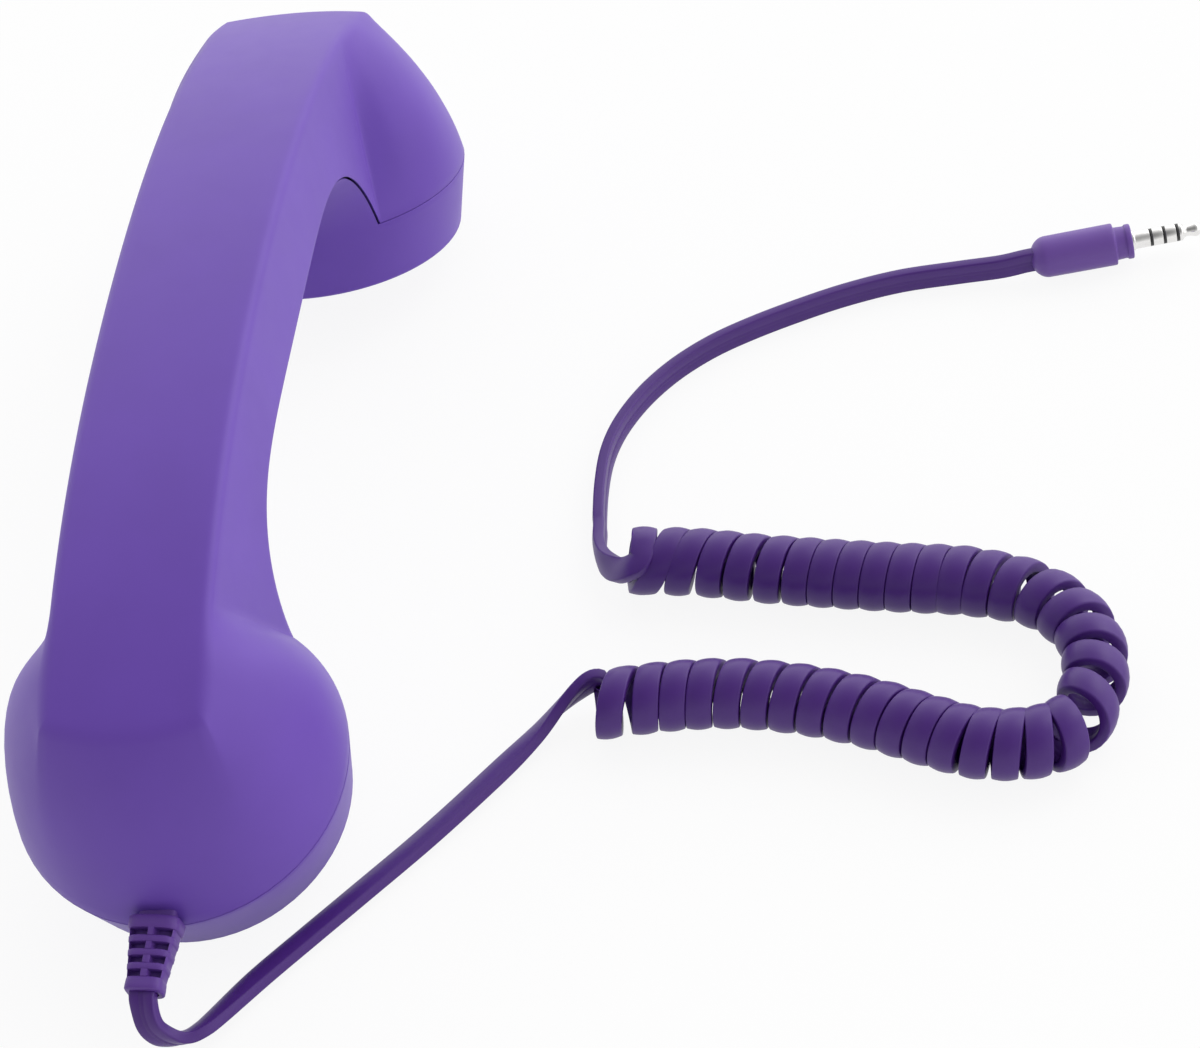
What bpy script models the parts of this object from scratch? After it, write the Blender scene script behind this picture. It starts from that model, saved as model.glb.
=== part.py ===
"""A plug-in telephone handset with a curly cord, lying face down on its two round cups.

Metres, +Z up. The handset's length runs along Y, the ear end at +Y and the mouth end, with the
cord, at -Y. It is symmetric about the plane x = 0, and its shells also about the plane y = 0.
The origin is on the surface that the handset lies on, midway between the cups.
"""

import math

import bmesh
import bpy
import numpy as np
from mathutils import Matrix, Vector

# Clearances, and how far a cutter runs past the face it opens
SEAT_GAP = 0.0003
JACK_GAP = 0.00005
OVERCUT = 0.001

# Heads: each is a round cup, tilted so that it stands on its outer edge
HEAD_SPACING = 0.152
HEAD_TILT = math.radians(15.2)
RIM_RADIUS = 0.031
CUP_BOTTOM_RADIUS = 0.0279
CUP_HEIGHT = 0.01435
CUP_EDGE_FILLET = 0.001
LIP_THICKNESS = 0.0018
CAP_RADIUS = 0.0249

# Back: a flat strip between two ridges, bowed along its length
BACK_HEIGHT = 0.0696
BACK_DROP = 0.0195
BACK_STEEPENING = 0.315
STRIP_WIDTH_MIDDLE = 0.0287
STRIP_WIDTH_END = 0.0294
STRIP_CROWN = 0.0005
STRIP_REACH = 0.0195
STRIP_END_BOW = 0.0024
RIDGE_ROUNDING = 0.0018

# Grip: the edge where the two shells meet, below the ridge, and the belly of the front shell
SIDE_DEPTH = 0.0158
EDGE_HALF_WIDTH = 0.017
EDGE_TUCK = 0.0004
EDGE_FLARE_POWER = 1.3
ARCH_POWER = 5
ARCH_END_ANGLE = math.radians(-53)
BELLY_DEPTH = 0.006

# Domes: how far a rib from the strip to the rim bulges out, as shares of its run and its drop
DOME_RUN_SHARE = 1.03
DOME_DROP_SHARE = 0.48
DOME_BLEND = 0.09
DOME_CORNER_SHARE = 0.74

# Walls
BACK_WALL = 0.002
FRONT_WALL = 0.0018

# Screws that close the shells, two in each head
POST_OFFSET = 0.0225
POST_RADIUS = 0.003
LUG_HEIGHT = 0.0075
LUG_THICKNESS = 0.0022
LUG_WIDTH = 0.007
SCREW_RADIUS = 0.0011
SCREW_HEAD_RADIUS = 0.0021
SCREW_HEAD_HEIGHT = 0.0014
SCREW_BITE = 0.005
PILOT_SPARE = 0.001
SCREW_HOLE_CLEARANCE = 0.0003

# Caps
CAP_FLANGE_OVERLAP = 0.0010
CAP_FLANGE_THICKNESS = 0.0012
CAP_PLATE = 0.002
CAP_RIM_WIDTH = 0.0015
GRILLE_HOLE_RADIUS = 0.00095
EAR_GRILLE_STEP = 0.0048
EAR_GRILLE_RINGS = 3
MOUTH_GRILLE_STEP = 0.0036
MOUTH_GRILLE_RINGS = 2

# Speaker
GASKET_THICKNESS = 0.0014
GASKET_WIDTH = 0.003
SPEAKER_RADIUS = 0.018
SPEAKER_FLANGE = 0.0012
SPEAKER_DEPTH = 0.0062
MAGNET_RADIUS = 0.009
MAGNET_HEIGHT = 0.0042
SPEAKER_SHEET = 0.0009
CONE_SHEET = 0.0005

# Microphone
CAPSULE_RADIUS = 0.00485
CAPSULE_HEIGHT = 0.0065
BOOT_WALL = 0.0013

# Circuit board, switch and answer button, on the belly of the grip
BUTTON_Y = 0.01
BUTTON_RADIUS = 0.0042
BUTTON_PROUD = 0.0009
BUTTON_FLANGE_RADIUS = 0.0056
BUTTON_FLANGE = 0.001
BUTTON_CROWN = 0.0003
PLUNGER_RADIUS = 0.0017
PLUNGER_BORE_DEPTH = 0.0015
BUTTON_TRAVEL = 0.0006
SWITCH_SIZE = 0.006
SWITCH_HEIGHT = 0.0024
BOARD_LENGTH = 0.04
BOARD_WIDTH = 0.018
BOARD_THICKNESS = 0.001
BOARD_POST_RADIUS = 0.0024
BOARD_POST_INSET = 0.004

# Wires inside: each route is given by the distance from its head's centre towards the grip,
# and the depth below the back strip
LEAD_RADIUS = 0.0006
TAIL_RADIUS = 0.0009
LEAD_START = 0.0025
LEAD_LANDING = 0.003
LEAD_END_INSET = 0.001
LEAD_SIDE_INSET = 0.002
SPEAKER_LEAD_ROUTE = ((0.003, 0.0217), (0.016, 0.0134), (0.031, 0.0113))
MICROPHONE_LEAD_ROUTE = ((0.003, 0.0237), (0.016, 0.0134), (0.031, 0.0113))
TAIL_ROUTE = ((-0.012, 0.0288), (0.001, 0.0190), (0.016, 0.0124), (0.031, 0.0108))

# Balance weight, a steel bar under the back strip
WEIGHT_LENGTH = 0.05
WEIGHT_WIDTH = 0.018
WEIGHT_THICKNESS = 0.004
WEIGHT_SCREW_INSET = 0.007
WEIGHT_BOSS_RADIUS = 0.003
WEIGHT_BOSS_HEIGHT = 0.0012

# Strain relief, at the outer end of the mouth head
RELIEF_LENGTH = 0.0138
RELIEF_YAW = math.radians(4.1)
RELIEF_BASE = (0.0094, 0.0064)
RELIEF_END = (0.0062, 0.0045)
RELIEF_FLANGE = 0.0026
RELIEF_COLLAR = 0.0029
RELIEF_RIBS = 4
RELIEF_CORE_DEPTH = 0.0014
RELIEF_SPINE = 0.0016
RELIEF_NECK = (0.0082, 0.005)
RELIEF_NECK_LENGTH = 0.0052
RELIEF_INNER_FLANGE = 0.0016
RELIEF_INNER_SIZE = (0.0098, 0.0064)
RELIEF_STANDOFF = 0.0004
RELIEF_RISE = 0.0026

# Cord: flat, coiled over part of its length
CORD_WIDTH = 0.0047
CORD_THICKNESS = 0.0024
COIL_DIAMETER = 0.0129
CORD_LANDING = 0.0015
PLUG_RADIUS = 0.0041
PLUG_LENGTH = 0.0168
PLUG_NECK_RADIUS = 0.0034
PLUG_NECK_LENGTH = 0.0034
PLUG_EDGE = 0.0004
JACK_RADIUS = 0.00175
JACK_CORE_RADIUS = 0.0008
JACK_TIP_CORE_DEPTH = 0.001
JACK_SEAT_DEPTH = 0.001
JACK_BAND = 0.0006
JACK_SLEEVE_LENGTH = 0.0035
JACK_RING_LENGTH = 0.002
JACK_TIP_LENGTH = 0.0045
JACK_TIP_WAIST = 0.00105
JACK_TIP_BALL = 0.00142
PLUG_START = Vector((0.1455, 0.0583, PLUG_RADIUS + SEAT_GAP / 4))
PLUG_ANGLE = math.radians(10.2)

# The cord's route, chosen by hand: out of the strain relief, along the table to the coil
HANDSET_ROUTE = [
    (-0.0003, -0.1270, 0.0085),
    (0.0009, -0.1275, 0.0060),
    (0.0028, -0.1270, 0.0040),
    (0.0048, -0.1260, 0.0029),
    (0.0069, -0.1243, 0.0024),
    (0.0090, -0.1217, 0.0022),
    (0.0153, -0.1129, 0.0020),
    (0.0230, -0.1037, 0.0019),
    (0.0303, -0.0952, 0.0019),
    (0.0415, -0.0820, 0.0019),
    (0.0516, -0.0690, 0.0020),
    (0.0582, -0.0603, 0.0025),
    (0.0630, -0.0550, 0.0040),
    (0.0664, -0.0531, 0.0068),
]
COIL_ROUTE = [
    (0.0704, -0.0567),
    (0.0734, -0.0563),
    (0.0848, -0.0552),
    (0.0967, -0.0554),
    (0.1087, -0.0576),
    (0.1206, -0.0614),
    (0.1315, -0.0662),
    (0.1406, -0.0696),
    (0.1499, -0.0699),
    (0.1561, -0.0670),
    (0.1592, -0.0605),
    (0.1603, -0.0526),
    (0.1587, -0.0446),
    (0.1542, -0.0383),
    (0.1478, -0.0336),
    (0.1365, -0.0303),
    (0.1243, -0.0286),
    (0.1113, -0.0267),
    (0.0981, -0.0245),
    (0.0866, -0.0222),
    (0.0761, -0.0210),
]
PLUG_ROUTE = [
    (0.0724, -0.0239, 0.0088),
    (0.0700, -0.0223, 0.0066),
    (0.0675, -0.0185, 0.0045),
    (0.0659, -0.0134, 0.0032),
    (0.0653, -0.0080, 0.0025),
    (0.0649, -0.0050, 0.0024),
    (0.0644, 0.0030, 0.0024),
    (0.0646, 0.0110, 0.0024),
    (0.0660, 0.0180, 0.0024),
    (0.0687, 0.0246, 0.0024),
    (0.0723, 0.0305, 0.0024),
    (0.0770, 0.0360, 0.0024),
    (0.0832, 0.0412, 0.0024),
    (0.0906, 0.0456, 0.0024),
    (0.0996, 0.0499, 0.0024),
    (0.1091, 0.0537, 0.0024),
    (0.1196, 0.0566, 0.0024),
    (0.1310, 0.0576, 0.0028),
    (0.1395, 0.0577, 0.0035),
]

# Where the cables meet the coil's end faces, across and up from its axis
COIL_ENTRY = (0.0030, 0.0022)
COIL_EXIT = (-0.0029, 0.0034)

# Mesh counts, in a quarter of a shell
GRIP_COLUMNS = 12
DOME_COLUMNS = 8
STRIP_CELLS = 5
RIB_ROWS = 6
ROUNDING_ROWS = 2
BELLY_CELLS = 5
CUP_ROWS = 2
FILLET_ROWS = 2
ROUND_SIDES = 40
HOLE_SIDES = 8
RELIEF_SIDES = 20
JACK_SIDES = 16

COLOURS = {
    "soft_touch": ((0.13, 0.06, 0.42), 0.55, 0.0),
    "cord": ((0.08, 0.03, 0.22), 0.4, 0.0),
    "metal": ((0.8, 0.8, 0.8), 0.2, 1.0),
    "steel": ((0.45, 0.45, 0.47), 0.4, 1.0),
    "black_plastic": ((0.02, 0.02, 0.02), 0.45, 0.0),
    "board": ((0.03, 0.18, 0.07), 0.5, 0.0),
    "foam": ((0.05, 0.05, 0.05), 0.95, 0.0),
    "cone_paper": ((0.06, 0.06, 0.07), 0.8, 0.0),
}

BACK_HALF = HEAD_SPACING / 2 + STRIP_REACH
EDGE_HEIGHT = BACK_HEIGHT - SIDE_DEPTH


def clear_scene():
    for old in list(bpy.data.objects):
        bpy.data.objects.remove(old, do_unlink=True)


def new_collection(name, helper=False):
    collection = bpy.data.collections.new(name)
    bpy.context.scene.collection.children.link(collection)
    collection.hide_render = helper
    return collection


def material(slot):
    found = bpy.data.materials.get(slot)
    if found:
        return found
    colour, roughness, metallic = COLOURS[slot]
    made = bpy.data.materials.new(slot)
    made.use_nodes = True
    shader = made.node_tree.nodes["Principled BSDF"]
    shader.inputs["Base Color"].default_value = (*colour, 1.0)
    shader.inputs["Roughness"].default_value = roughness
    shader.inputs["Metallic"].default_value = metallic
    return made


def add_object(name, data, slot=None, place=None):
    """A part of the handset when it has a material slot, and otherwise a cutter or helper."""
    made = bpy.data.objects.new(name, data)
    if slot:
        data.materials.append(material(slot))
        PARTS.objects.link(made)
    else:
        HELPERS.objects.link(made)
        made.hide_render = True
        made.display_type = "WIRE"
    if place is not None:
        made.matrix_world = place
    return made


def mesh_of(name, bm):
    mesh = bpy.data.meshes.new(name)
    bm.to_mesh(mesh)
    bm.free()
    mesh.shade_smooth()
    mesh.set_sharp_from_angle(angle=math.radians(35))
    return mesh


# Frames: a head's own frame has its origin at the centre of the cup's face and Z up its axis


def lowest_cup_point():
    """How far below the centre of a tilted cup's face its filleted edge reaches."""
    inside = CUP_BOTTOM_RADIUS - CUP_EDGE_FILLET
    return inside * math.sin(HEAD_TILT) - CUP_EDGE_FILLET * math.cos(HEAD_TILT) + CUP_EDGE_FILLET


def head_frame(side):
    """side is 1 for the ear head and -1 for the mouth head."""
    centre = Matrix.Translation((0, side * HEAD_SPACING / 2, lowest_cup_point()))
    return centre @ Matrix.Rotation(-side * HEAD_TILT, 4, "X")


EAR = head_frame(1)
MOUTH = head_frame(-1)


def rim_point(radius, angle, height):
    """On the ear head, in world space."""
    return EAR @ Vector((radius * math.cos(angle), radius * math.sin(angle), height))


# The back strip


def ridge_height(y):
    share = y / BACK_HALF
    fall = (1 - BACK_STEEPENING) * share**2 + BACK_STEEPENING * share**4
    return BACK_HEIGHT - BACK_DROP * fall


def strip_half_width(y):
    share = min(abs(y) / BACK_HALF, 1)
    return (STRIP_WIDTH_MIDDLE + (STRIP_WIDTH_END - STRIP_WIDTH_MIDDLE) * share**2) / 2


def on_strip(x, y, wall):
    crown = STRIP_CROWN * (1 - (x / strip_half_width(y)) ** 2)
    return Vector((x, y, ridge_height(y) + crown - wall))


def strip_end(x, inset):
    return BACK_HALF + STRIP_END_BOW * (1 - (x / strip_half_width(BACK_HALF)) ** 2) - inset


def strip_outline(column, inset, wall, grip_shares):
    """The strip's edge, moved inwards by inset: along the ridge, round the corner, to the middle."""
    tip = HEAD_SPACING / 2
    corner_x = strip_half_width(BACK_HALF) - inset
    corner_y = strip_end(corner_x, inset)
    if column <= GRIP_COLUMNS:
        y = tip * grip_shares[column]
        return on_strip(strip_half_width(y) - inset, y, wall)
    beyond = column - GRIP_COLUMNS
    if beyond <= DOME_COLUMNS:
        y = tip + (corner_y - tip) * beyond / DOME_COLUMNS
        return on_strip(strip_half_width(y) - inset, y, wall)
    x = corner_x * (1 - (beyond - DOME_COLUMNS) / STRIP_CELLS)
    return on_strip(x, strip_end(x, inset), wall)


# The parting edge and the belly


def arch(turn, end_y, end_z, top_z):
    """A flat arch in the YZ plane: a superellipse from its top, at turn 0, to its foot, at 90 degrees."""
    y = end_y * math.sin(turn) ** (2 / ARCH_POWER)
    return y, end_z + (top_z - end_z) * math.cos(turn)


def parting_edge(turn, wall, front):
    """Where the shells meet along the grip. The front shell's edge lies inside the back's by the seat gap."""
    angle, height, top, half = ARCH_END_ANGLE, CUP_HEIGHT, EDGE_HEIGHT, EDGE_HALF_WIDTH
    if front:
        angle -= SEAT_GAP / (RIM_RADIUS * math.cos(ARCH_END_ANGLE))
        height -= SEAT_GAP
        top -= SEAT_GAP
        half -= EDGE_TUCK
    foot = rim_point(RIM_RADIUS - wall, angle, height)
    y, z = arch(turn, foot.y, foot.z, top)
    fall = (1 - math.cos(turn)) ** EDGE_FLARE_POWER
    return Vector((half - wall + (foot.x - half + wall) * fall, y, z))


def grip_turns():
    """Turns of the arch at even lengths along the parting edge, and each one's share of the length."""
    fine = np.linspace(0, math.pi / 2, 2001)
    points = np.array([parting_edge(turn, 0, False) for turn in fine])
    length = np.concatenate([[0], np.cumsum(np.linalg.norm(np.diff(points, axis=0), axis=1))])
    shares = np.linspace(0, 1, GRIP_COLUMNS + 1)
    return [float(t) for t in np.interp(shares * length[-1], length, fine)], list(shares)


def dome_angle(share, front):
    """The rim's angle for a share of the way round the dome, from the parting arch to the head's end."""
    start = ARCH_END_ANGLE
    if front:
        start -= SEAT_GAP / (RIM_RADIUS * math.cos(ARCH_END_ANGLE))
    return start + (math.pi / 2 - start) * share


def dome_shares():
    to_corner = [DOME_CORNER_SHARE * i / DOME_COLUMNS for i in range(DOME_COLUMNS + 1)]
    rest = [
        DOME_CORNER_SHARE + (1 - DOME_CORNER_SHARE) * i / STRIP_CELLS
        for i in range(1, STRIP_CELLS + 1)
    ]
    return to_corner + rest


# Mesh building


def add_grid(bm, rows):
    """Quads between rows of points. Points that coincide are welded afterwards."""
    made = [[bm.verts.new(p) for p in row] for row in rows]
    for upper, lower in zip(made, made[1:]):
        for a, b, c, d in zip(upper, upper[1:], lower[1:], lower):
            bm.faces.new((a, b, c, d))


def weld(bm):
    bmesh.ops.remove_doubles(bm, verts=bm.verts, dist=1e-6)
    bmesh.ops.dissolve_degenerate(bm, edges=bm.edges, dist=1e-7)
    bmesh.ops.recalc_face_normals(bm, faces=bm.faces)


def back_skirts(wall):
    """Columns from the strip's edge, round the ridge and down a rib to the parting edge."""
    turns, shares = grip_turns()
    round_shares = dome_shares()
    rounding = RIDGE_ROUNDING if not wall else RIDGE_ROUNDING / 4
    columns = []
    for column in range(GRIP_COLUMNS + DOME_COLUMNS + STRIP_CELLS + 1):
        top = strip_outline(column, wall, wall, shares)
        start = strip_outline(column, wall + rounding, wall, shares)
        run_share, drop_share = 0.5, 0.5
        if column <= GRIP_COLUMNS:
            foot = parting_edge(turns[column], wall, False)
        else:
            share = round_shares[column - GRIP_COLUMNS]
            foot = rim_point(RIM_RADIUS - wall, dome_angle(share, False), CUP_HEIGHT)
            bulge = 1 - (1 - min(share / DOME_BLEND, 1)) ** 2.4
            run_share += (DOME_RUN_SHARE - 0.5) * bulge
            drop_share += (DOME_DROP_SHARE - 0.5) * bulge
        way = foot - top
        middle = top + Vector((way.x * run_share, way.y * run_share, way.z * drop_share))

        def rib(s):
            return top * (1 - s) ** 2 + middle * (2 * s * (1 - s)) + foot * s * s

        leave = rounding / (2 * (middle - top).length)
        onto = rib(leave)
        rounded = [
            start * (1 - s) ** 2 + top * (2 * s * (1 - s)) + onto * s * s
            for s in (i / ROUNDING_ROWS for i in range(ROUNDING_ROWS))
        ]
        below = [rib(leave + (1 - leave) * i / RIB_ROWS) for i in range(RIB_ROWS + 1)]
        columns.append(rounded + below)
    return columns


def back_strip(wall):
    """Rows across the half strip, and the bowed piece at its end."""
    _, shares = grip_turns()
    inset = wall + (RIDGE_ROUNDING if not wall else RIDGE_ROUNDING / 4)
    rows = []
    for column in range(GRIP_COLUMNS + DOME_COLUMNS + 1):
        edge = strip_outline(column, inset, wall, shares)
        rows.append([on_strip(edge.x * (1 - i / STRIP_CELLS), edge.y, wall) for i in range(STRIP_CELLS + 1)])
    first = GRIP_COLUMNS + DOME_COLUMNS
    end = [strip_outline(first + i, inset, wall, shares) for i in range(STRIP_CELLS + 1)]
    return rows, [rows[-1], end]


def back_quarter():
    bm = bmesh.new()
    feet = []
    for wall in (0, BACK_WALL):
        skirts = back_skirts(wall)
        strip, end = back_strip(wall)
        for grid in (skirts, strip, end):
            add_grid(bm, grid)
        feet.append([column[-1] for column in skirts])
    add_grid(bm, feet)
    weld(bm)
    return mesh_of("back_shell", bm)


def back_core():
    """A closed solid that reaches halfway into the back shell's wall, to trim what stands inside it."""
    bm = bmesh.new()
    wall = BACK_WALL / 2
    skirts = back_skirts(wall)
    strip, end = back_strip(wall)
    for grid in (skirts, strip, end):
        add_grid(bm, grid)
    feet = [column[-1] for column in skirts]
    add_grid(bm, [feet, [Vector((0, p.y, p.z)) for p in feet]])
    weld(bm)
    return mesh_of("back_core", bm)


def cup_radius(height):
    return CUP_BOTTOM_RADIUS + (RIM_RADIUS - CUP_BOTTOM_RADIUS) * height / (CUP_HEIGHT - SEAT_GAP)


def cup_profile(wall):
    """(radius, height) from the parting plane down to the lip's edge."""
    top = CUP_HEIGHT - SEAT_GAP
    if wall:
        lowest = LIP_THICKNESS
        heights = [top + (lowest - top) * i / CUP_ROWS for i in range(CUP_ROWS + 1)]
        return [(cup_radius(h) - wall, h) for h in heights] + [(CAP_RADIUS + SEAT_GAP, lowest)]
    lowest = CUP_EDGE_FILLET
    heights = [top + (lowest - top) * i / CUP_ROWS for i in range(CUP_ROWS + 1)]
    profile = [(cup_radius(h), h) for h in heights]
    centre = cup_radius(lowest) - CUP_EDGE_FILLET
    for i in range(1, FILLET_ROWS + 1):
        turn = math.pi / 2 * i / FILLET_ROWS
        profile.append(
            (centre + CUP_EDGE_FILLET * math.cos(turn), CUP_EDGE_FILLET * (1 - math.sin(turn)))
        )
    return profile + [(CAP_RADIUS + SEAT_GAP, 0)]


def belly_sections(wall):
    """Sections of the front shell from the middle of the grip down to the cup's rim."""
    turns, _ = grip_turns()
    rim = rim_point(RIM_RADIUS - wall, -math.pi / 2, CUP_HEIGHT - SEAT_GAP)
    sections = []
    for turn in turns:
        edge = parting_edge(turn, wall, True)
        y, z = arch(turn, rim.y, rim.z, EDGE_HEIGHT - BELLY_DEPTH + wall)
        # The curve across goes from an ellipse on the grip to the rim's own circle.
        bend = edge.x * ((1 - math.sin(turn)) / edge.x + math.sin(turn) / (RIM_RADIUS - wall))
        bend = min(bend, 1)
        base = math.sqrt(1 - bend**2)
        section = []
        for i in range(BELLY_CELLS + 1):
            q = math.cos(math.pi / 2 * i / BELLY_CELLS)
            sag = (math.sqrt(1 - (bend * q) ** 2) - base) / (1 - base)
            section.append(
                Vector((edge.x * q, edge.y + (y - edge.y) * sag, edge.z + (z - edge.z) * sag))
            )
        sections.append(section)
    return sections


def front_quarter():
    bm = bmesh.new()
    edges, mouths = [], []
    for wall in (0, FRONT_WALL):
        sections = belly_sections(wall)
        last = [EAR.inverted() @ p for p in sections[-1]]
        angles = [math.atan2(p.y, p.x) for p in reversed(last)]
        angles += [dome_angle(share, True) for share in dome_shares()[1:]]
        cup = [[rim_point(r, a, h) for a in angles] for r, h in cup_profile(wall)]
        add_grid(bm, sections)
        add_grid(bm, cup)
        edges.append([section[0] for section in sections] + cup[0][BELLY_CELLS + 1 :])
        mouths.append(cup[-1])
    add_grid(bm, edges)
    add_grid(bm, mouths)
    weld(bm)
    return mesh_of("front_shell", bm)


def mirror_quarter(made):
    mirror = made.modifiers.new("Mirror", "MIRROR")
    mirror.use_axis = (True, True, False)
    mirror.merge_threshold = 0.00001


def combine(made, other, operation):
    cut = made.modifiers.new(other.name, "BOOLEAN")
    cut.operation = operation
    cut.object = other


def add_cylinder(bm, radius, low, high, place, sides=HOLE_SIDES):
    """A cylinder from low to high along the Z of place."""
    middle = place @ Matrix.Translation((0, 0, (low + high) / 2))
    bmesh.ops.create_cone(
        bm,
        cap_ends=True,
        segments=sides,
        radius1=radius,
        radius2=radius,
        depth=high - low,
        matrix=middle,
    )


def add_box(bm, low, high, place):
    centre = (Vector(low) + Vector(high)) / 2
    size = Vector(high) - Vector(low)
    matrix = place @ Matrix.Translation(centre) @ Matrix.Diagonal((*size, 1))
    bmesh.ops.create_cube(bm, size=1, matrix=matrix)


def turned(name, profile, slot, place, sides=ROUND_SIDES):
    """A solid of revolution about place's Z. The profile runs down its outer side, from axis to axis."""
    bm = bmesh.new()
    points = [bm.verts.new((r, 0, z)) for r, z in profile]
    edges = [bm.edges.new(pair) for pair in zip(points, points[1:])]
    if profile[0][0] > 0:
        edges.append(bm.edges.new((points[-1], points[0])))
    bmesh.ops.spin(
        bm,
        geom=points + edges,
        cent=(0, 0, 0),
        axis=(0, 0, 1),
        angle=2 * math.pi,
        steps=sides,
        use_merge=True,
    )
    weld(bm)
    return add_object(name, mesh_of(name, bm), slot, place)


def tube(name, points, radius, slot, resolution=2):
    data = bpy.data.curves.new(name, "CURVE")
    data.dimensions = "3D"
    data.bevel_depth = radius
    data.bevel_resolution = resolution
    data.use_fill_caps = True
    spline = data.splines.new("POLY")
    spline.points.add(len(points) - 1)
    for point, place in zip(spline.points, points):
        point.co = (*place, 1)
    return add_object(name, data, slot)


def smooth_curve(route, count):
    """Evenly spaced points on the smooth curve through the route's points."""
    knots = np.array([tuple(p) for p in route], float)
    padded = np.vstack([2 * knots[0] - knots[1], knots, 2 * knots[-1] - knots[-2]])
    fine = []
    for a, b, c, d in zip(padded, padded[1:], padded[2:], padded[3:]):
        for s in np.linspace(0, 1, 24, endpoint=False):
            fine.append(
                b + 0.5 * s * (c - a + s * (2 * a - 5 * b + 4 * c - d + s * (3 * (b - c) + d - a)))
            )
    fine = np.array(fine + [knots[-1]])
    length = np.concatenate([[0], np.cumsum(np.linalg.norm(np.diff(fine, axis=0), axis=1))])
    at = np.linspace(0, length[-1], count)
    return [Vector([float(np.interp(t, length, fine[:, k])) for k in range(3)]) for t in at]


# Where the screws, posts and holes are


def post_places():
    """In the head's frame: the two screws of a head, left and right of its middle."""
    return [Matrix.Translation((side * POST_OFFSET, 0, 0)) for side in (-1, 1)]


def lug_top():
    return LUG_HEIGHT + LUG_THICKNESS


def belly_height(y):
    """The height of the belly's outer face above a point on the y axis."""
    rim = rim_point(RIM_RADIUS, -math.pi / 2, CUP_HEIGHT - SEAT_GAP)
    turn = math.asin((abs(y) / rim.y) ** (ARCH_POWER / 2))
    return arch(turn, rim.y, rim.z, EDGE_HEIGHT - BELLY_DEPTH)[1]


def board_low():
    """The board's underside, worked up from the belly through the button and the switch."""
    belly = EDGE_HEIGHT - BELLY_DEPTH
    flange = belly + FRONT_WALL + 2 * SEAT_GAP
    switch = flange + BUTTON_FLANGE + BUTTON_TRAVEL + 2 * SEAT_GAP
    return switch + SWITCH_HEIGHT + SEAT_GAP


def board_ends():
    return BUTTON_Y - BOARD_LENGTH / 2, BUTTON_Y + BOARD_LENGTH / 2


def board_post_places():
    low, high = board_ends()
    return [Matrix.Translation((0, y, 0)) for y in (low + BOARD_POST_INSET, high - BOARD_POST_INSET)]


def weight_places():
    reach = WEIGHT_LENGTH / 2 - WEIGHT_SCREW_INSET
    return [Matrix.Translation((0, side * reach, 0)) for side in (-1, 1)]


def weight_top():
    reach = WEIGHT_LENGTH / 2
    return min(ridge_height(reach), on_strip(0, reach, 0).z) - BACK_WALL - SEAT_GAP


def relief_frame():
    """On the dome's wall above the mouth head's outer end, Z pointing out along the strain relief."""
    at = MOUTH @ Vector((0, -RIM_RADIUS, CUP_HEIGHT)) + Vector((0, -RELIEF_STANDOFF, RELIEF_RISE))
    out = MOUTH.to_3x3() @ Vector((-math.sin(RELIEF_YAW), -math.cos(RELIEF_YAW), 0))
    up = MOUTH.to_3x3() @ Vector((0, 0, 1))
    across = up.cross(out)
    turn = Matrix((across, up, out)).transposed().to_4x4()
    return Matrix.Translation(at) @ turn


def relief_tunnel():
    """The opening in both shells for the strain relief's neck."""
    bm = bmesh.new()
    half_width = RELIEF_NECK[0] / 2 + SEAT_GAP
    half_height = RELIEF_NECK[1] / 2 + SEAT_GAP
    inward = -RELIEF_NECK_LENGTH - RELIEF_INNER_FLANGE
    outward = 2 * OVERCUT
    add_box(
        bm,
        (-half_width, -half_height, inward),
        (half_width, half_height, outward),
        relief_frame(),
    )
    return add_object("relief_tunnel", mesh_of("relief_tunnel", bm))


# The parts


def make_back_shell(tunnel):
    shell = add_object("back_shell", back_quarter(), "soft_touch")
    mirror_quarter(shell)
    core = add_object("back_core", back_core())
    mirror_quarter(core)

    bm = bmesh.new()
    for head in (EAR, MOUTH):
        for place in post_places():
            add_cylinder(bm, POST_RADIUS, lug_top() + SEAT_GAP, BACK_HEIGHT, head @ place, 16)
    for place in weight_places():
        high = BACK_HEIGHT + WEIGHT_BOSS_HEIGHT
        add_cylinder(bm, WEIGHT_BOSS_RADIUS, weight_top() + SEAT_GAP, high, place, 16)
    posts = add_object("back_posts", mesh_of("back_posts", bm))
    combine(posts, core, "INTERSECT")

    bm = bmesh.new()
    pilot = SCREW_RADIUS + SCREW_HOLE_CLEARANCE
    for head in (EAR, MOUTH):
        for place in post_places():
            add_cylinder(bm, pilot, lug_top(), lug_top() + SCREW_BITE + PILOT_SPARE, head @ place)
    for place in weight_places():
        low = weight_top()
        add_cylinder(bm, pilot, low, low + WEIGHT_BOSS_HEIGHT + SEAT_GAP, place)
    pilots = add_object("back_pilots", mesh_of("back_pilots", bm))

    combine(shell, posts, "UNION")
    combine(shell, pilots, "DIFFERENCE")
    combine(shell, tunnel, "DIFFERENCE")


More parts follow.
